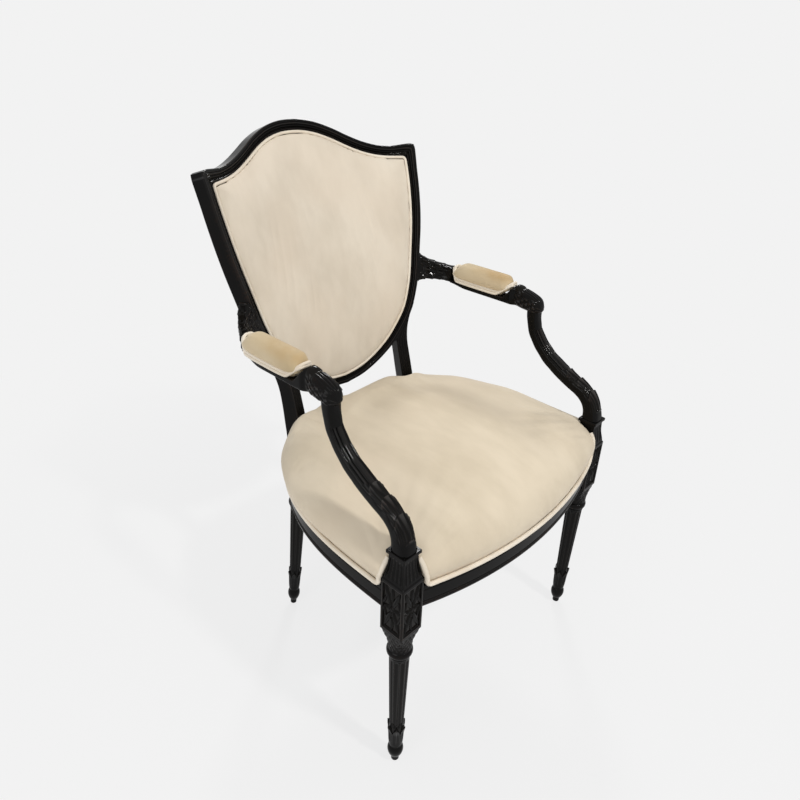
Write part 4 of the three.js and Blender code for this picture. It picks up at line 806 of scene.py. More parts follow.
def back_post():
    """Right back post in one piece: turned rear leg on its leaning axis, block, post and stile."""
    top = on_post(np.array([POST_MIDDLE]), np.array([float(BLOCK_LOW)]), FRAME_THICK / 2)[0]
    foot = top * [1, 1, 0] + [REAR_FOOT_OUT, REAR_FOOT_BACK, 0]
    axis = top - foot
    leg, relief = turned_leg(np.linalg.norm(axis), REAR_LEG_GIRTH)
    up = unit(axis)
    side = unit(np.cross(up, [0.0, 1.0, 0.0]))
    leg = foot + leg @ np.stack([side, np.cross(up, side), up])
    leg[..., 2] = np.maximum(leg[..., 2], 0)
    inner, outer = stile_stations()
    shape = Shape().tube(leg, relief).tube(*post_section())
    return shape.tube(*frame_section(inner, outer, thickness_at(outer[:, 1])))


# Arms and their supports

SUPPORT_SHARES = np.array([
    [0, 0], [0.012, 0.06], [0.03, 0.123], [0.069, 0.187], [0.131, 0.241], [0.216, 0.287], [0.314, 0.322],
    [0.418, 0.362], [0.523, 0.408], [0.611, 0.454], [0.699, 0.5], [0.771, 0.557], [0.84, 0.615],
    [0.895, 0.678], [0.948, 0.747], [0.974, 0.822], [0.996, 0.908], [1, 1]])
GIRTH_SHARES = np.array([
    [0, 1.2], [0.05, 1.12], [0.2, 1.04], [0.5, 0.98], [0.7, 0.9], [0.85, 0.86], [0.92, 0.89], [1, 0.93]])
LEAF_START, LEAF_END, LEAF_TIERS = 0.07, 0.42, 3


def acanthus(side, up, tips=1.0):
    """A leaf in tiers, 0 to 1, that climbs towards up = 1 of each tier: each tier thickens to a lobed
    edge and drops, its edge held back towards the sides, with veins that fan out from its midrib."""
    tier = np.floor(up + 0.42 * np.abs(side) ** 1.6)
    local = up + 0.42 * np.abs(side) ** 1.6 - tier
    lobes = np.abs(np.cos(side * np.pi * (2.5 + 0.5 * (tier % 2))))
    edge = local ** 1.6 * (0.72 + 0.28 * lobes)
    veins = np.cos((side * (4.2 - 1.6 * local)) * 2 * np.pi) * (0.25 + 0.5 * local)
    return tips * edge + 0.2 * veins + 0.3 * bump(side, 0, 0.06) * (1 - local)


def arm_support():
    """Right arm support: a rounded square section carried up an S. The front face has reeds that start
    from a leaf in three tiers on the lower bend, and a plain band lies under the arm."""
    back, up = smooth_line(SUPPORT_SHARES, 330).T
    centre = stack(lerp(LEG_X, ARM_X, up), back * SUPPORT_REACH, lerp(PLATE_TOP + 0.3, ARM_UNDER + 3, up))
    run = np.linspace(0, 1, len(centre))[:, None]
    way = unit(np.gradient(centre, axis=0))
    upright = np.maximum(1 - ease(run, 0, 0.04), ease(run, 0.86, 0.92))
    way = unit(lerp(way, np.array([0, 0, 1.0]), upright))
    side = np.array([1.0, 0, 0])
    front = np.cross(side, way)
    front = unit(front * -np.sign(front[:, 1:2] + 1e-9))
    turn = full_turn(144)[None, :]
    ahead, across = rounded_square(turn, 3.2)
    girth = SUPPORT_RADIUS * np.interp(run, GIRTH_SHARES[:, 0], GIRTH_SHARES[:, 1])
    angle = np.arctan2(np.sin(turn), np.cos(turn)) / (np.pi * 0.36)
    facing = 1 - ease(np.abs(angle), 0.86, 1.06)

    start = LEAF_END - 0.015 + 0.05 * np.abs(angle)
    reeded = ease(run, start, start + 0.012) * (1 - ease(run, 0.835, 0.85)) * facing
    local = (angle * 1.9 + 0.5) % 1 * 2 - 1
    reeds = dome(local)
    quirk = bump(np.abs(angle), 1.12, 0.07) * ease(run, 0.05, 0.08) * (1 - ease(run, 0.84, 0.86))

    climb = (run - LEAF_START) / (LEAF_END - LEAF_START) * LEAF_TIERS
    spread = np.clip(angle / 1.25, -1, 1)
    on_leaf = (1 - ease(np.abs(angle), 1.15, 1.35)) * ease(run, LEAF_START - 0.02, LEAF_START + 0.01)
    on_leaf = on_leaf * (climb + 0.42 * np.abs(spread) ** 1.6 < LEAF_TIERS)
    leaf = acanthus(spread, climb)
    veins = np.cos(spread * 7 * np.pi)
    out = reeded * (2.8 * reeds - 2.2) - 0.9 * quirk + on_leaf * (2.5 * leaf + 0.3 * veins - 0.7)
    reach = (girth + out)[..., None]
    points = centre[:, None] + across[..., None] * reach * side + ahead[..., None] * reach * front[:, None]
    relief = reeded * (1.5 * reeds - 0.8) - 0.8 * quirk + on_leaf * (1.7 * leaf + 0.4 * veins - 0.6)
    return Shape().tube(points, relief)


KNUCKLE_END, STRIP_START, STRIP_END = 196, 196.8, 351.2
ARM_TOP = smooth_line([
    (136.6, 656), (138.2, 662.5), (142.5, 669.5), (151, 675.5), (164, 680.5), (179, 684.2), (189, 687.2),
    (195, 688.2)], 60)
ARM_REST = np.array([(STRIP_START, 687.4), (221.2, PAD_SEAT), (STRIP_END, PAD_SEAT), (351.6, 684.7)])
ROOT_TOP = smooth_line([(0, 684.7), (0.3, 687.5), (0.6, 695), (0.85, 705), (1, 712)], 40)
def arm():
    """Right arm: a rounded rectangle between the lines of its side view, straight under the pad, then
    fanning and bending in to the stile. Knuckle: a small curled leaf in front of the pad, reeds over
    its top and nose, small leaves on its cheeks. Root: leaves that fan out from the stile."""
    turn = full_turn(144)[None, :]
    nose = smooth_line(ARM_TOP, 110)[:, 0]
    y = np.concatenate([nose, np.linspace(STRIP_START, STRIP_END, 60), [351.5]])[:, None]
    top_line = np.concatenate([ARM_TOP, ARM_REST])
    top = np.interp(y, top_line[:, 0], top_line[:, 1])
    low = ARM_UNDER + 5 * ease(y, 310, PAD_REAR) - 5 * (1 - ease(y, 145, 230))
    low = low + 6 * np.clip((147 - y) / 11, 0, 1) ** 2.4
    half = ARM_WIDTH / 2 * np.sqrt(np.clip(1 - (np.clip(152 - y, 0, None) / 15.6) ** 2, 0.02, 1))
    half = half * (1 - 0.2 * bump(y, 192, 9) * (1 - ease(y, KNUCKLE_END, KNUCKLE_END + 10)))
    power = lerp(2.9, 7.0, ease(y, 192, 205))
    across, up = rounded_square(turn, power)
    carved = 1 - ease(y, KNUCKLE_END - 6, KNUCKLE_END)
    over = ease(up, 0.35, 0.7)
    reeds = dome((across * 2.5 + 0.5) % 1 * 2 - 1) * (1 - ease(y, 176, 182))
    curl = ease(y, 180, 186)
    cheeks = scales(up * 1.9 + 0.25, (KNUCKLE_END - y) / 8.5) * (1 - over) * ease(up, -0.85, -0.6)
    cheeks = cheeks * ease(np.abs(across), 0.3, 0.6)
    hem = bump(up, -0.75, 0.12) * np.abs(np.sin(y * np.pi / 9))
    out = carved * (over * (1.5 * reeds - 0.9) * (1 - curl) + over * curl * 1.4 + 1.5 * cheeks + 0.4 * hem)
    narrow = ROOT_NARROW * ease(y, 296, PAD_REAR) * (across + 1) / 2
    x = ARM_X + across * (half + out * np.abs(across)) - narrow
    z = lerp(low, top, (up + 1) / 2) + out * np.clip(up, -0.3, 1)
    strip = ease(y, KNUCKLE_END, KNUCKLE_END + 26)
    relief = carved * (over * (1.4 * reeds - 0.7) + 1.2 * cheeks + hem - 0.3)
    relief = relief + strip * (0.8 * bump(up, 0.8, 0.2) + 0.4 * bump(up, -1, 0.1))
    straight = stack(x, y + 0 * x, z)

    s = np.linspace(0, 1, 120)[1:, None]
    low = lerp(ARM_UNDER + 5, ARM_UNDER + 9, np.sin(s * np.pi / 2)) - 4 * ease(s, 0.7, 1)
    top = np.interp(s, ROOT_TOP[:, 0], ROOT_TOP[:, 1])
    round_off = lerp(7.0, 3.4, ease(s, 0, 0.35))
    across, up = rounded_square(turn, round_off)
    end_z = lerp(ARM_UNDER + 5, ARM_UNDER + ROOT_HEIGHT, (up[-1:] + 1) / 2)
    face, rear = (on_back(stile_x(end_z) - 1.0, end_z, depth) for depth in (0, ROOT_DEPTH))
    leave = unit(np.array([1.0, -2 * HOLLOW * 200 / BACK_HALF ** 2, 0]))

    def bend(x_start, root, share):
        a = np.array([x_start, PAD_REAR, 0])
        b = a + np.array([0, ROOT_BEND * share, 0])
        c = root + leave * ROOT_BEND * share * 0.7
        return bezier(a, b, c, root, s[..., None])

    inner = bend(ARM_X - ARM_WIDTH / 2, face, 0.9)
    outer = bend(ARM_X + ARM_WIDTH / 2 - ROOT_NARROW, rear, 0.45)
    carve = ease(s, 0.05, 0.14) * (1 - ease(s, 0.9, 0.96))
    leaves = scales(up * 2.6 + s * 2.2 * up, 5.2 * (1 - s) + 0.5 * np.abs(up))
    ribs = np.cos(up * (3.5 + 2.5 * s) * np.pi)
    out = carve * (1.7 * leaves + 0.35 * ribs - 0.5)
    place = lerp(inner, outer, (across[..., None] + 1) / 2)
    root = place + unit((outer - inner) * [1, 1, 0]) * (across * out)[..., None]
    root[..., 2] = lerp(low, top, (up + 1) / 2) + out * up * 0.8
    root_relief = carve * (1.3 * leaves + 0.4 * ribs - 0.6)
    return Shape().tube(np.concatenate([straight, root]), np.concatenate([relief, root_relief]))


# Seat rails


def rail_profile():
    """Face of a seat rail, from its top edge down: height share, how far it stands out, and relief. A
    fine groove lies near the top and two thin beads near the bottom."""
    share = np.linspace(0, 1, 49)
    out = hills(share, (-0.9, 0.2, 0.02), (-0.9, 0.74, 0.02), (0.5, 0.79, 0.025), (-0.9, 0.84, 0.02),
                (0.5, 0.89, 0.025), (-1.4, 1, 0.03))
    relief = hills(share, (-0.8, 0.2, 0.02), (0.9, 0.79, 0.03), (0.9, 0.89, 0.03), (0.5, 0.99, 0.02))
    return share, out, relief


def rail_tube(outer, inner):
    """A rail between an outer and an inner line in plan, with the moulded face on the outer one."""
    share, out, relief = rail_profile()
    way = unit(outer - inner)
    face = outer[:, None] + way[:, None] * out[None, :, None]
    height = lerp(RAIL_TOP, RAIL_BOTTOM, share)
    face = stack(face[..., 0], face[..., 1], height[None, :])
    back = [stack(inner[:, 0], inner[:, 1], float(z)) for z in (RAIL_BOTTOM, RAIL_MIDDLE, RAIL_TOP)]
    grid = np.concatenate([face, np.stack(back, 1)], 1)
    return grid, np.broadcast_to(np.concatenate([relief, np.zeros(3)]), grid.shape[:2])


def front_line(count, carry=0.0):
    """Arc of the front rail in plan, from end to end, carried outwards."""
    radius = (RAIL_END ** 2 + FRONT_BOW ** 2) / (2 * FRONT_BOW)
    reach = math.asin(RAIL_END / radius)
    turn = np.linspace(-reach, reach, count)
    far = radius + carry
    return np.stack([far * np.sin(turn), FRONT_RAIL_Y - FRONT_BOW + radius - far * np.cos(turn)], -1)


def side_line(count, inward=0.0):
    """Outer line of the right side rail in plan, from the front leg to the rear one, carried inward."""
    end = on_post(np.array([POST_HALF + 5.5]), np.array([RAIL_MIDDLE]), FRAME_THICK * 0.9)[0, :2]
    arriving = end + np.array([SIDE_REAR_SHARE, -math.sqrt(1 - SIDE_REAR_SHARE ** 2)]) * SIDE_REAR_REACH
    share = np.linspace(0, 1, count)[:, None]
    line = bezier(SIDE_START, SIDE_START + [0, SIDE_FRONT_REACH], arriving, end, share)
    return line - outward(line) * inward


def seat_rails():
    """Front rail and the pair of side rails, with their bead lines."""
    line = front_line(120)
    front = Shape().tube(*rail_tube(line, line + [0, FRONT_THICK]))
    make(front, "front_rail_moulded", BLACK, "front_rail")
    side = Shape().tube(*rail_tube(side_line(120), side_line(120, SIDE_THICK)))
    make_pair(side, "side_rail_moulded", BLACK, "side_rail")


# Cords and cushions


def cord(path, ups, radius, closed=False, sides=12):
    """A round cord along a path; its section is a circle square to the path, started from ups."""
    path = np.asarray(path, float)
    way = np.roll(path, -1, 0) - np.roll(path, 1, 0) if closed else np.gradient(path, axis=0)
    way = unit(way)
    up = np.broadcast_to(np.asarray(ups, float), path.shape)
    side = unit(np.cross(way, up))
    up = np.cross(side, way)
    turn = full_turn(sides)[None, :, None]
    ring = np.cos(turn) * side[:, None] + np.sin(turn) * up[:, None]
    return path[:, None] + radius * ring


def post_core_y(z):
    """The middle of the post's thickness at a height."""
    return on_post(np.array([POST_MIDDLE]), np.array([float(z)]), FRAME_THICK / 2)[0, 1]


SEAT_REAR_Y = post_core_y(RAIL_MIDDLE) + 4 + REAR_RAIL_THICK / 2
SEAT_CENTRE = np.array([0, (FRONT_RAIL_Y - FRONT_BOW + SEAT_REAR_Y) / 2])
REAR_STRAIGHT_HALF = 83.6
SEAT_PROFILE = smooth_line([
    (1.0, 0.0), (1.002, 0.085), (1.014, 0.15), (1.026, 0.24), (1.024, 0.34), (1.006, 0.43), (0.97, 0.545),
    (0.88, 0.7), (0.73, 0.835), (0.5, 0.945), (0.25, 0.992), (0.0, 1.0)], 76)


def seat_outline(angles):
    """Distance from the seat's centre to the edge of its cover at the rails, at each angle."""
    half = front_line(60)[30:]
    side = side_line(60)
    block = [[LEG_X - 4, -12], [LEG_X + 12, 4]]
    rear = [[POST_HALF - POST_WIDTH, post_core_y(RAIL_TOP)], [REAR_STRAIGHT_HALF, SEAT_REAR_Y],
            [0, SEAT_REAR_Y]]
    right = evenly(np.concatenate([half, block, side, rear]), 500) - SEAT_CENTRE
    angle = np.unwrap(np.arctan2(right[:, 1], right[:, 0]))
    folded = np.pi / 2 - np.abs((angles + np.pi / 2) % (2 * np.pi) - np.pi)
    order = np.argsort(angle)
    return np.interp(folded, angle[order], np.hypot(*right.T)[order])


def seat_cushion():
    """Seat: rings about its centre whose reach is the outline times the profile's share, and whose
    height rises with it to the crown. It is fuller along the rear, most of all in its left corner,
    and stands out a little further over the rear ends of the side rails."""
    angles = full_turn(480, -np.pi)
    reach = seat_outline(angles) - 0.6
    share, height = SEAT_PROFILE[:-1].T
    across, behind = np.cos(angles), np.sin(angles)
    corners = 0.14 * bump(across, -0.6, 0.26) - 0.085 * bump(across, 0.62, 0.22)
    rear = 0.11 * ease(behind, 0.15, 0.6) + 0.16 * ease(behind, 0.6, 0.97) + corners * (behind > 0)
    rear = rear + 0.075 * bump(behind, 0.1, 0.24)
    haunch = 0.022 * ease(np.abs(across), 0.55, 0.78) * ease(behind, -0.15, 0.12)
    fuller = height[:, None] + rear * bump(share[:, None], 0.86, 0.2) * ease(height[:, None], 0.3, 0.6)
    z = RAIL_TOP + 0.4 + (SEAT_HEIGHT - 0.4) * np.minimum(fuller, 1)
    r = reach * (share[:, None] + haunch * bump(height[:, None], 0.28, 0.2))
    points = stack(r * np.cos(angles), SEAT_CENTRE[1] + r * np.sin(angles), z)
    tips = [[*SEAT_CENTRE, RAIL_TOP + 0.4], [*SEAT_CENTRE, RAIL_TOP + SEAT_HEIGHT]]
    return Shape().tube(points, 0.0, tips)


def seat_notches(room=1.4):
    """Prisms round the right block and the right post, wider than the wood by the room the velvet
    keeps, that are cut from the cushion."""
    z = np.array([RAIL_TOP - 40, 424, 430, 437, 444, 452, 460, 560.0])[:, None]
    half = np.interp(z, *HEAD_HALVES[:13].T) + room
    far = np.full_like(half, 90)
    x = LEG_X + np.concatenate([-half, far, far, -half], 1)
    block = stack(x, np.concatenate([-far, -far, half, half], 1), z)
    z = np.array([RAIL_TOP - 40, 408, 416, 424, 432, 440, 600.0])[:, None]
    swell = rear_swell(z)
    wide = REAR_BLOCK_WIDER * swell + room
    inner, outer = POST_HALF - POST_WIDTH - wide, POST_HALF + wide
    x = np.concatenate([inner, outer, outer, inner], 1)
    depth = np.concatenate([-REAR_BLOCK_DEEPER * swell - room] * 2 + [80 + 0 * swell] * 2, 1)
    return Shape().tube(block), Shape().tube(on_post(x, z + 0 * x, depth))


def evaluated(piece):
    """The piece's mesh with its modifiers worked in."""
    depsgraph = bpy.context.evaluated_depsgraph_get()
    return bpy.data.meshes.new_from_object(piece.evaluated_get(depsgraph))


def coordinates(mesh):
    """Vertices of a mesh, in millimetres from the leg axis."""
    co = np.empty(len(mesh.vertices) * 3, np.float32)
    mesh.vertices.foreach_get("co", co)
    return co.reshape(-1, 3).astype(float) / MM - [0, LEG_AXIS_Y, 0]


SETTLE_FRAMES, STUFFING_PRESSURE = 20, 4.0


def upholster(piece, voxel, cap, held, cutters=()):
    """Turns a plain cushion into stuffed fabric: cuts its notches, remeshes it to even quads, lets
    cloth under pressure settle on it with the held points fixed, keeps each point within the cap of
    where it began, and subdivides once. held takes points and gives 1 where they stay."""
    name, start = piece.name, piece.data
    for cutter in cutters:
        cut = piece.modifiers.new("notch", "BOOLEAN")
        cut.object, cut.operation, cut.solver = cutter, "DIFFERENCE", "EXACT"
    remesh = piece.modifiers.new("even quads", "REMESH")
    remesh.mode, remesh.voxel_size = "VOXEL", voxel * MM
    even = piece.modifiers.new("even out", "SMOOTH")
    even.factor, even.iterations = 0.5, 3
    mesh = evaluated(piece)
    piece.modifiers.clear()
    piece.data = mesh
    bpy.data.meshes.remove(start)
    for cutter in cutters:
        bpy.data.meshes.remove(cutter.data)
    mesh.name = name
    before = coordinates(mesh)
    stay = held(before)
    group = piece.vertex_groups.new(name="held")
    for level in (0.25, 0.5, 0.75, 1.0):
        group.add(np.flatnonzero(stay >= level).tolist(), level, "REPLACE")
    cloth = piece.modifiers.new("stuffing", "CLOTH")
    cloth.settings.use_pressure = True
    cloth.settings.uniform_pressure_force = STUFFING_PRESSURE
    cloth.settings.effector_weights.gravity = 0
    cloth.settings.vertex_group_mass = "held"
    for frame_number in range(1, SETTLE_FRAMES + 1):
        bpy.context.scene.frame_set(frame_number)
    settled = evaluated(piece)
    move = coordinates(settled) - before
    piece.modifiers.clear()
    piece.vertex_groups.clear()
    bpy.data.meshes.remove(settled)
    bpy.context.scene.frame_set(1)
    far = np.linalg.norm(move, axis=1, keepdims=True)
    move *= np.minimum(1, cap / np.maximum(far, 1e-9)) * (1 - stay[:, None])
    co = ((before + move + [0, LEG_AXIS_Y, 0]) * MM).astype(np.float32)
    mesh.vertices.foreach_set("co", co.ravel())
    finer = piece.modifiers.new("finer", "SUBSURF")
    finer.levels = finer.render_levels = 1
    fine = evaluated(piece)
    piece.modifiers.clear()
    piece.data = fine
    bpy.data.meshes.remove(mesh)
    fine.name = name
    fine.polygons.foreach_set("use_smooth", np.ones(len(fine.polygons), bool))
    return piece


def seat_piping():
    """Piping round the seat: the run along the front rail and those along the side rails turn up beside
    the blocks and follow the cushion's edge to the plate; one more run lies across the rear."""
    z = RAIL_TOP + 0.3 + WELT_RADIUS
    rises = np.array([4.5, 12, 21, 29, 36, 42, 47])
    clear = np.interp(z + rises, *HEAD_HALVES.T) + WELT_RADIUS + 0.2
    drawn = np.array([0.2, 0.4, 0.9, 2.2, 4.6, 8.0, 12.5])
    line = front_line(130, WELT_OUT)
    line = line[np.abs(line[:, 0]) < LEG_X - clear[0] - 4]
    start = line[-1, 1] + 2.2
    climb = stack(LEG_X - clear, start + drawn, z + rises)
    run = stack(*line.T, z)
    front = smooth_line(np.concatenate([mirror(climb)[::-1], run[::4], climb]), 260)
    front = cord(front, [0.02, 0.6, 0.8], WELT_RADIUS)
    make(Shape().tube(front), "seat_piping_front", PIPING, "seat_welt_front")
    line = side_line(130, -WELT_OUT)
    line = line[line[:, 1] > clear[0] + 4]
    climb = stack(line[0, 0] - drawn, clear, z + rises)
    run = stack(*line.T, z)
    side = smooth_line(np.concatenate([climb[::-1], run[::4], run[-1:]]), 260)
    side = cord(side, [0.8, 0.02, 0.6], WELT_RADIUS)
    make_pair(Shape().tube(side), "seat_piping", PIPING, "seat_welt")
    half = POST_HALF - POST_WIDTH - REAR_BLOCK_WIDER
    rear = cord(stack(np.linspace(-half, half, 40), SEAT_REAR_Y + WELT_OUT, z), [0, 0, 1.0], WELT_RADIUS)
    make(Shape().tube(rear), "seat_piping_rear", PIPING, "seat_welt_rear")


def shield_loop(inset, count=560):
    """The shield's inner outline, rounded at the ears and drawn in by the inset, as points (x, z)."""
    half = np.concatenate([SIDE_LINE, CREST_LINE[1:]])
    loop = evenly(np.concatenate([half, (half * [-1, 1])[::-1][1:]]), count + 1)[:-1]
    for _ in range(14):
        loop = (np.roll(loop, 1, 0) + 2 * loop + np.roll(loop, -1, 0)) / 4
    way = unit(np.roll(loop, -1, 0) - np.roll(loop, 1, 0))
    return loop + np.stack([-way[:, 1], way[:, 0]], -1) * inset


SHIELD_CENTRE = np.array([0, (SHIELD_LOW + EAR_Z + CREST_RISE) / 2])
BACK_TUCK = BACK_WELT_GAP + BACK_WELT_RADIUS * 2 - 1.7
BACK_FOOT = REBATE_DEPTH - 0.3
BACK_PROFILE = smooth_line(np.array([
    (1.0, 0.0), (1.0, 0.4), (0.998, 0.75), (0.985, 1.15), (0.96, 1.55), (0.91, 2.15), (0.83, 2.8),
    (0.7, 3.45), (0.52, 4.0), (0.3, 4.35), (0.0, 4.5)]) * [1, BACK_DOME / 4.5], 64)


def shield_rings(inset, shares):
    """The shield's loop at an inset, drawn in to its middle by each of the shares: x and z of its points."""
    rings = SHIELD_CENTRE + (shield_loop(inset) - SHIELD_CENTRE) * shares[:, None, None]
    return rings[..., 0], rings[..., 1]


def middle_tips(*depths):
    """Points at the middle of the shield, at two depths."""
    return on_back(np.zeros(2), np.full(2, SHIELD_CENTRE[1]), np.array(depths))


def inside_back():
    """Upholstery of the back seen by the sitter: rings drawn in from the piping to the middle, rising
    out of the rebate into a shallow dome over the hollow surface."""
    share, rise = BACK_PROFILE[:-1].T
    depth = BACK_FOOT - (BACK_FOOT + BACK_DOME) * (rise / BACK_DOME)[:, None]
    points = on_back(*shield_rings(BACK_TUCK, share), depth)
    return Shape().tube(points, 0.0, middle_tips(BACK_FOOT - 0.2, -BACK_DOME))


def outside_back():
    """Cloth over the rear of the shield, bulging a little from its edge."""
    share = np.linspace(1, 0.02, 40)
    x, z = shield_rings(BACK_WELT_RADIUS - REAR_WELT_OUT + 0.3, share)
    lift = CORD_GAP + CLOTH + 0.8 * ease(1 - share, 0, 0.2)[:, None]
    under = on_back(x[:1], z[:1], thickness_at(z[:1]) + CORD_GAP)
    points = np.concatenate([under, on_back(x, z, thickness_at(z) + lift)])
    depth = FRAME_THICK + CORD_GAP
    return Shape().tube(points, 0.0, middle_tips(depth, depth + CLOTH + 0.8))


def back_piping(inset, depth):
    """Piping round the shield at an inset from its outline and a depth from its front."""
    loop = shield_loop(inset)
    deep = depth(loop[:, 1])
    path = on_back(loop[:, 0], loop[:, 1], deep)
    up = on_back(loop[:, 0], loop[:, 1], deep - 1) - path
    return Shape().hoop(cord(path, up, BACK_WELT_RADIUS, closed=True))


def pad_point(x, y, height):
    """A point of the arm pad: it leans forward with height in front and stands straight at the rear."""
    share = (PAD_REAR - y) / PAD_LENGTH
    return stack(x, y - PAD_SLANT * share * height / PAD_HEIGHT, PAD_SEAT + 0.3 + height)


def pad_end(y, reach):
    """1 at either end of the pad, easing to 0 at a reach from it."""
    return 1 - ease(np.minimum(PAD_REAR - y, y - PAD_REAR + PAD_LENGTH), 0, reach)


def pad_outline(inset, count=150):
    """Rounded rectangle of the pad in plan, a curve of the power 3.7."""
    half = np.array([ARM_WIDTH / 2 + PAD_OVERHANG, PAD_LENGTH / 2]) - inset
    loop = np.array([ARM_X, PAD_MIDDLE]) + half * np.stack(rounded_square(full_turn(count), 3.7), -1)
    return evenly(np.concatenate([loop, loop[:1]]), count + 1)[:-1]


PAD_PROFILE = smooth_line([
    (6.2, 0.0), (6.2, 0.12), (5.0, 0.2), (1.2, 0.26), (-0.6, 0.4), (-0.2, 0.56), (1.6, 0.73), (5.0, 0.88),
    (9.5, 0.965), (14.5, 0.995), (18.5, 1.0)], 46)


def arm_pad():
    """Right arm pad: rings drawn in from its outline, rising to a long crown that drops at both ends."""
    inset, height = PAD_PROFILE.T
    rings = np.stack([pad_outline(i) for i in inset])
    rise = (height * PAD_HEIGHT)[:, None]
    rise = rise - PAD_END_DROP * pad_end(rings[..., 1], PAD_END_REACH) * ease(rise, 10, PAD_HEIGHT)
    points = pad_point(rings[..., 0], rings[..., 1], rise)
    tips = pad_point(np.full(2, float(ARM_X)), np.full(2, PAD_MIDDLE), np.array([0.0, PAD_HEIGHT]))
    return Shape().tube(points, 0.0, tips)


def held_seat(points):
    """The seat cover is tacked to the rails and drawn tight beside the blocks and the posts."""
    low = 1 - ease(points[:, 2], RAIL_TOP + 6, RAIL_TOP + 26)
    x, y = np.abs(points[:, 0]), points[:, 1]
    post_front, post_half = 364, 19
    gaps = [(LEG_X - BLOCK_HALF - x, y - BLOCK_HALF), (np.abs(x - POST_MIDDLE) - post_half, post_front - y)]
    block, post = (1 - ease(np.hypot(np.maximum(0, a), np.maximum(0, b)), 4, 22) for a, b in gaps)
    return np.maximum(low, np.maximum(block, post))


def held_back(points):
    """The back's cover is held along its piping: where it lies within the rebate."""
    x, z = np.abs(points[:, 0]), points[:, 2]
    rise = back_y(x, z) - points[:, 1]
    return 1 - ease(rise, -1.0, 9.0)


def held_pad(points):
    """The foot of the arm pad is tacked to the arm."""
    return 1 - ease(points[:, 2], PAD_SEAT + 7, PAD_SEAT + 16)


def wear_pad(pad):
    """Writes how far the pad is worn: most on top and towards its front."""
    points = coordinates(pad.data)
    worn = ease(points[:, 2] - PAD_SEAT, 20, 38) * ease(PAD_REAR - points[:, 1], 25, 105)
    write_relief(pad.data, worn)


def pad_piping():
    """The pair of cords round the pad, one above the other: along its foot at the sides, and climbing
    at both ends to the top of the arm, where the upper one also stands further out."""
    shape = Shape()
    for level, inset in ((0.0, 0.0), (1.0, 1.2)):
        x, y = pad_outline(PAD_WELT_RADIUS + inset - 0.6, 220).T
        height = PAD_WELT_RADIUS + level * PAD_WELT_RADIUS * CORD_PITCH
        height = height + CORD_CLIMB * pad_end(y, CORD_CLIMB_REACH)
        y = y - level * CORD_SPREAD * pad_end(y, CORD_SPREAD_REACH) * np.sign(y - PAD_MIDDLE)
        path = pad_point(x, y, height)
        shape.hoop(cord(path, [0, 0, 1], PAD_WELT_RADIUS * 0.98, closed=True))
    return shape


# The chair

shield_frame()
for part_name, part_shape in (("front_leg", front_leg), ("back_post", back_post),
                              ("arm_support", arm_support), ("arm", arm)):
    make_pair(part_shape(), f"{part_name}_carved", BLACK, part_name)
seat_rails()

notches = [form.build(f"notch_{side}_{k}") for k, right in enumerate(seat_notches())
           for side, form in (("right", right), ("left", right.twin()))]
seat = upholster(seat_cushion().build("seat_cushion"), 5, 4.5, held_seat, notches)
dress(seat, SHADED_SEAT_VELVET, "seat_cover", "seat_foam")
back = upholster(inside_back().build("inside_back_padding"), 4, 3.0, held_back)
dress(back, BACK_VELVET, "inside_back_cover", "back_foam")
make(outside_back(), "outside_back_cloth", BACK_VELVET, "outside_back_cover")
back_cord = back_piping(BACK_WELT_GAP + BACK_WELT_RADIUS,
                        lambda z: BACK_FOOT - 0.15 - BACK_WELT_RADIUS + 0 * z)
make(back_cord, "inside_back_piping", PIPING, "inside_back_welt")
back_cord = back_piping(-REAR_WELT_OUT, lambda z: thickness_at(z) + BACK_WELT_RADIUS - REAR_WELT_SUNK)
make(back_cord, "outside_back_piping", PIPING, "outside_back_welt")
for side, form in (("right", arm_pad()), ("left", arm_pad().twin())):
    pad = upholster(form.build(f"arm_pad_cushion_{side}"), 2.2, 1.2, held_pad)
    wear_pad(pad)
    dress(pad, PAD_VELVET, f"arm_pad_cover_{side}", f"arm_pad_{side}")
make_pair(pad_piping(), "arm_pad_piping", PIPING, "arm_pad_welt")
seat_piping()

# CAD nodes that stay as they are, each with the finish of the word in its name, or else lacquered
WORD_FINISHES = {"dowel": BEECH, "corner_block": BEECH, "webbing": JUTE, "burlap": JUTE,
                 "dust_cover": CAMBRIC, "screw": STEEL}
for name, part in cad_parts.items():
    if not part.hide_render:
        part.data.materials.clear()
        part.data.materials.append(next((f for word, f in WORD_FINISHES.items() if word in name), BLACK[0]))


# Floor, world, lamps and camera

PALE = 0.888
FLOOR_HALF, FLOOR_LIT_TO, FLOOR_PALE_FROM = 12.0, 0.45, 1.7


def background_rays(tree):
    """1 for rays that see the background straight, in a reflection or through glass, 0 for the rest."""
    rays = node(tree, "ShaderNodeLightPath").outputs
    mirrored = calc(tree, "MAXIMUM", rays["Is Glossy Ray"], rays["Is Transmission Ray"])
    return calc(tree, "MAXIMUM", rays["Is Camera Ray"], mirrored)


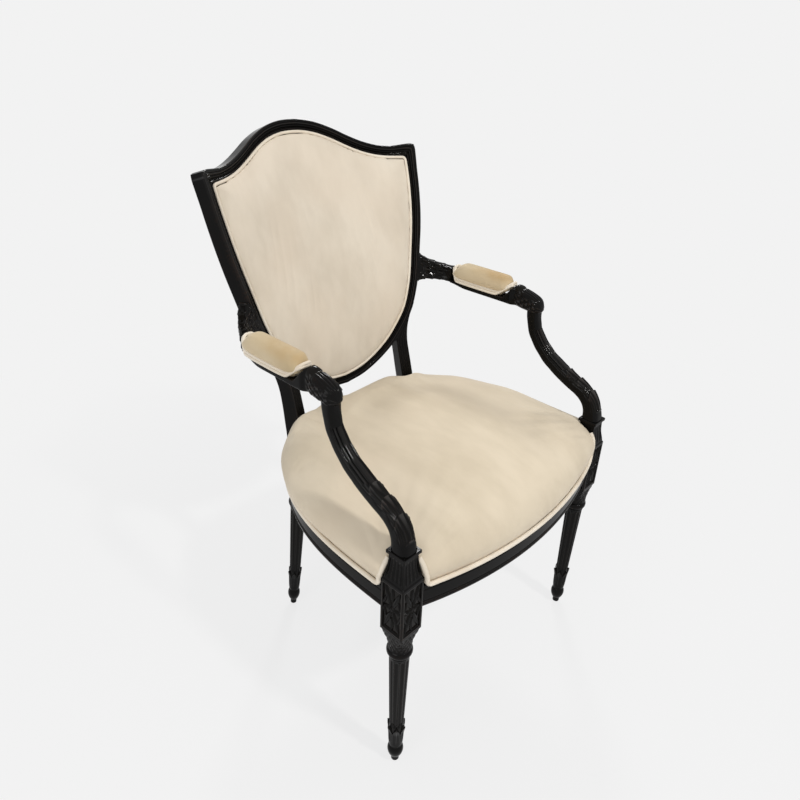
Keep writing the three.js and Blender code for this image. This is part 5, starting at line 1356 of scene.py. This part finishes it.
def studio_floor():
    """Flat pale floor. Near the chair the rays of the background see a share of its lit face, which
    holds the soft shadow, and further off only its plain pale colour."""
    corners = [[-FLOOR_HALF, -FLOOR_HALF, 0], [FLOOR_HALF, -FLOOR_HALF, 0],
               [FLOOR_HALF, FLOOR_HALF, 0], [-FLOOR_HALF, FLOOR_HALF, 0]]
    mesh = bpy.data.meshes.new("studio_floor")
    mesh.from_pydata(corners, [], [[0, 1, 2, 3]])
    floor = add_object("studio_floor", mesh)
    material, tree, skin, place = shader("studio floor")
    feed(tree, skin, {"Base Color": (0.8, 0.8, 0.8, 1), "Roughness": 0.9, "Specular IOR Level": 0.0})
    glow = node(tree, "ShaderNodeEmission", {"Color": (*grey(PALE), 1)})
    away = node(tree, "ShaderNodeVectorMath", {0: place}, operation="LENGTH").outputs["Value"]
    spread = node(tree, "ShaderNodeMapRange", {
        "Value": away, "From Min": FLOOR_LIT_TO, "From Max": FLOOR_PALE_FROM, "To Min": 0.85, "To Max": 1.0},
        interpolation_type="SMOOTHSTEP")
    share = calc(tree, "MULTIPLY", spread.outputs["Result"], background_rays(tree))
    blend = node(tree, "ShaderNodeMixShader", {
        0: share, 1: skin.outputs["BSDF"], 2: glow.outputs["Emission"]})
    feed(tree, tree.nodes["Material Output"], {"Surface": blend.outputs["Shader"]})
    mesh.materials.append(material)


def studio_world():
    """Soft grey surround that shows as the pale background to the camera and in reflections."""
    world = bpy.data.worlds.new("studio")
    bpy.context.scene.world = world
    world.use_nodes = True
    tree = world.node_tree
    colour = mix(tree, background_rays(tree), (0.53, 0.533, 0.545), grey(PALE))
    feed(tree, tree.nodes["Background"], {"Color": colour, "Strength": 1.0})


def stand(holder, place, side, up, back):
    """Puts a lamp or a camera in its place, its three axes turned as given."""
    turned = np.eye(4)
    turned[:3, :3] = np.stack([side, up, back], 1)
    turned[:3, 3] = place
    holder.matrix_world = Matrix(turned.tolist())


def lamp(name, place, aim, size, watts, colour=(1, 1, 1)):
    """Square soft lamp at a place, facing its aim."""
    light = bpy.data.lights.new(name, "AREA")
    light.energy, light.size, light.color = watts, size, colour
    back = unit(np.array(place, float) - np.array(aim, float))
    side = unit(np.cross([0, 0, 1.0], back))
    stand(add_object(name, light), place, side, np.cross(back, side), back)


def camera():
    """The photograph's view: worked out from the chair's mirror symmetry, then held as its place, its
    three turns and its focal length in pixels of the 800 pixel frame."""
    place = np.array([-0.7865, -0.7191, 1.1086])
    yaw, pitch, roll = (math.radians(a) for a in (47.36, 29.287, -2.022))
    focal_px, frame_px = 662.47, 800
    ahead = np.array([math.sin(yaw) * math.cos(pitch), math.cos(yaw) * math.cos(pitch), -math.sin(pitch)])
    level = np.array([math.cos(yaw), -math.sin(yaw), 0])
    down = np.cross(ahead, level)
    right = math.cos(roll) * level + math.sin(roll) * down
    down = -math.sin(roll) * level + math.cos(roll) * down
    data = bpy.data.cameras.new("photograph")
    data.sensor_width, data.lens = 36, 36 * focal_px / frame_px
    holder = add_object("photograph", data)
    stand(holder, place, right, -down, -ahead)
    bpy.context.scene.camera = holder


studio_floor()
studio_world()
lamp("key lamp", (0.1, -2.5, 3.6), (0, 0, 0.5), 0.28, 72, (1, 0.985, 0.96))
lamp("fill lamp", (-2.6, -0.4, 1.7), (0, 0, 0.5), 1.6, 23)
lamp("rear lamp", (2.3, 1.7, 3.0), (0, 0, 0.6), 0.6, 43)
camera()
bpy.context.scene.view_settings.view_transform = "Standard"
